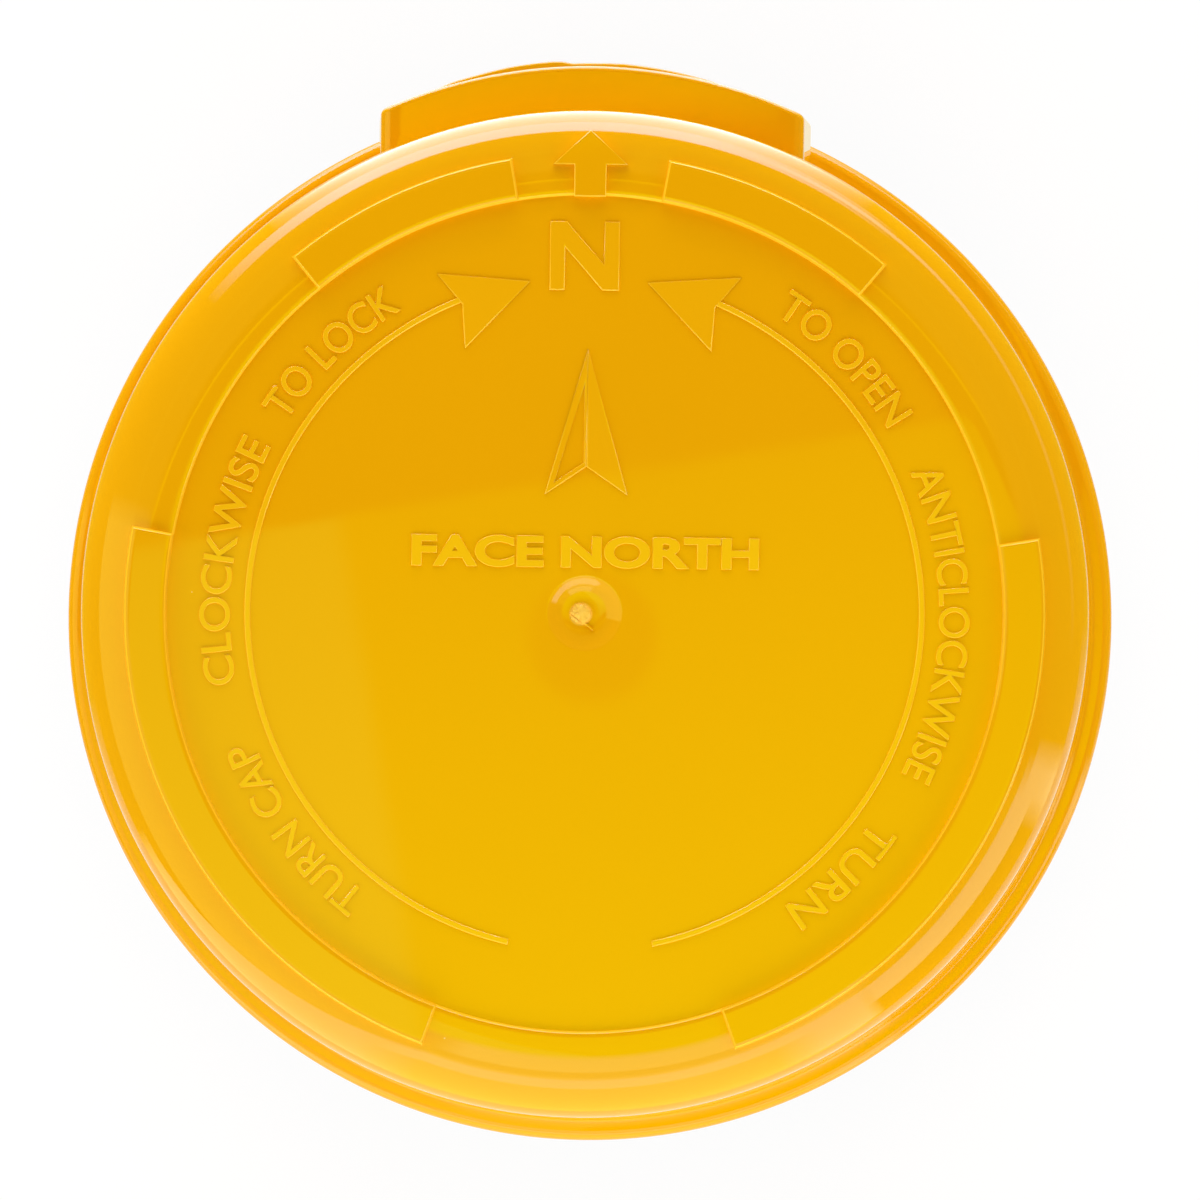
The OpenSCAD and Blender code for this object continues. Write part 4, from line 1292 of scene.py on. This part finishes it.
def floor_finish():
    """White to the camera, with a faint shadow; the gloss sees the studio's panels in it."""
    material, tree, shader = blank_finish("pale_floor")
    tree.nodes.remove(shader)
    rays = add_node(tree, "ShaderNodeLightPath", {}).outputs
    seen = worked(tree, "MAXIMUM", rays["Is Camera Ray"], rays["Is Transmission Ray"])
    glow_share = worked(tree, "MULTIPLY", seen, floor_glow_share)
    share = worked(tree, "MAXIMUM", glow_share, rays["Is Glossy Ray"])
    glow = blend(tree, rays["Is Glossy Ray"], floor_white, mirrored_glow(tree))
    white = add_node(tree, "ShaderNodeEmission", {"Color": glow}).outputs[0]
    matt = add_node(tree, "ShaderNodeBsdfDiffuse", {"Color": floor_matt}).outputs[0]
    lit = add_node(tree, "ShaderNodeMixShader", {0: share, 1: matt, 2: white}).outputs[0]
    clear = add_node(tree, "ShaderNodeBsdfTransparent", {}).outputs[0]
    below = add_node(tree, "ShaderNodeNewGeometry", {}).outputs["Backfacing"]
    one_sided = add_node(tree, "ShaderNodeMixShader", {0: below, 1: lit, 2: clear}).outputs[0]
    return glowing(material, tree, one_sided)


def tent_finish():
    material, tree, shader = blank_finish("tent_panels")
    tree.nodes.remove(shader)
    glow = add_node(tree, "ShaderNodeEmission", {"Color": mirrored_glow(tree)}).outputs[0]
    return glowing(material, tree, glow)


def staged(name, mesh, material):
    """A thing of the studio, apart from the part."""
    mesh.materials.append(material)
    thing = linked(name, mesh)
    return thing


bm = bmesh.new()
corners = [(-1, -1), (1, -1), (1, 1), (-1, 1)]
bm.faces.new([bm.verts.new((x * floor_half, y * floor_half, stand_z)) for x, y in corners])
staged("floor", mesh_from("floor", bm), floor_finish())
tent_profile = [(tent_r, stand_z, 0), (tent_r, tent_h, 0), (0, tent_h, 0)]
tent = staged("tent", turned_mesh("tent", tent_profile, fastener_turns), tent_finish())
for sight in ("camera", "diffuse", "transmission", "shadow"):
    setattr(tent, "visible_" + sight, False)


def sheet(name, middle, facing, width, height, brightness):
    """A bright sheet at a place, facing a way, out of the camera's and the gloss's sight."""
    lamp_data = bpy.data.lights.new(name, "AREA")
    lamp_data.shape = "RECTANGLE"
    lamp_data.size = width
    lamp_data.size_y = height
    lamp_data.energy = brightness * math.pi * width * height
    lamp = linked(name, lamp_data)
    aim = (-Vector(facing)).to_track_quat("Z", "Y").to_matrix().to_4x4()
    lamp.matrix_world = Matrix.Translation(middle) @ aim
    lamp.visible_camera = False
    lamp.visible_glossy = False


sheet("overhead_sheet", (-0.2, -0.8, 1.45), (0, 0, -1), 1.7, 1.64, 0.66)
sheet("south_sheet", (0, -1.6, 0.72), (0, 1, 0), 2.6, 1.5, 2.3)
for side in (-1, 1):
    sheet("south_corner_sheet", (side * 1.45, -0.95, 0.75), (-side * 1.45, 0.95, 0), 1.1, 1.0, 2.7)
    sheet("side_sheet", (side * 1.3, 0.1, 0.3), (-side, 0, 0), 1.6, 0.5, 0.8)
sheet("north_fill", (0, 1.15, 0.8), (0, -1.15, -0.8), 1.8, 1.0, 2.2)
sheet("north_strip", (-0.22, 0.8, 0.17), (0, -1, 0), 1.2, 0.36, 3.0)

world = bpy.data.worlds.new("studio")
bpy.context.scene.world = world
world.use_nodes = True
world_tree = world.node_tree
camera_ray = add_node(world_tree, "ShaderNodeLightPath", {}).outputs["Is Camera Ray"]
feed(world_tree, world_tree.nodes["Background"], {
    "Color": (1, 1, 1, 1), "Strength": ramp(world_tree, camera_ray, 0, 1, dome_strength, dome_seen),
})

camera_place = Vector((9.0 * MM, -8.5 * MM, 1.007))
camera_aim = Vector((0.8 * MM, 1.5 * MM, 7 * MM))
camera_lens = 372.6
camera_roll = math.radians(0.8)
camera_data = bpy.data.cameras.new("camera")
camera_data.lens = camera_lens
camera = linked("camera", camera_data)
backward = (camera_place - camera_aim).normalized()
rightward = Vector((-math.sin(camera_roll), math.cos(camera_roll), 0)).cross(backward).normalized()
upward = backward.cross(rightward)
camera_turn = Matrix((rightward, upward, backward)).transposed().to_4x4()
camera.matrix_world = Matrix.Translation(camera_place) @ camera_turn
bpy.context.scene.camera = camera
bpy.context.scene.view_settings.view_transform = "Standard"
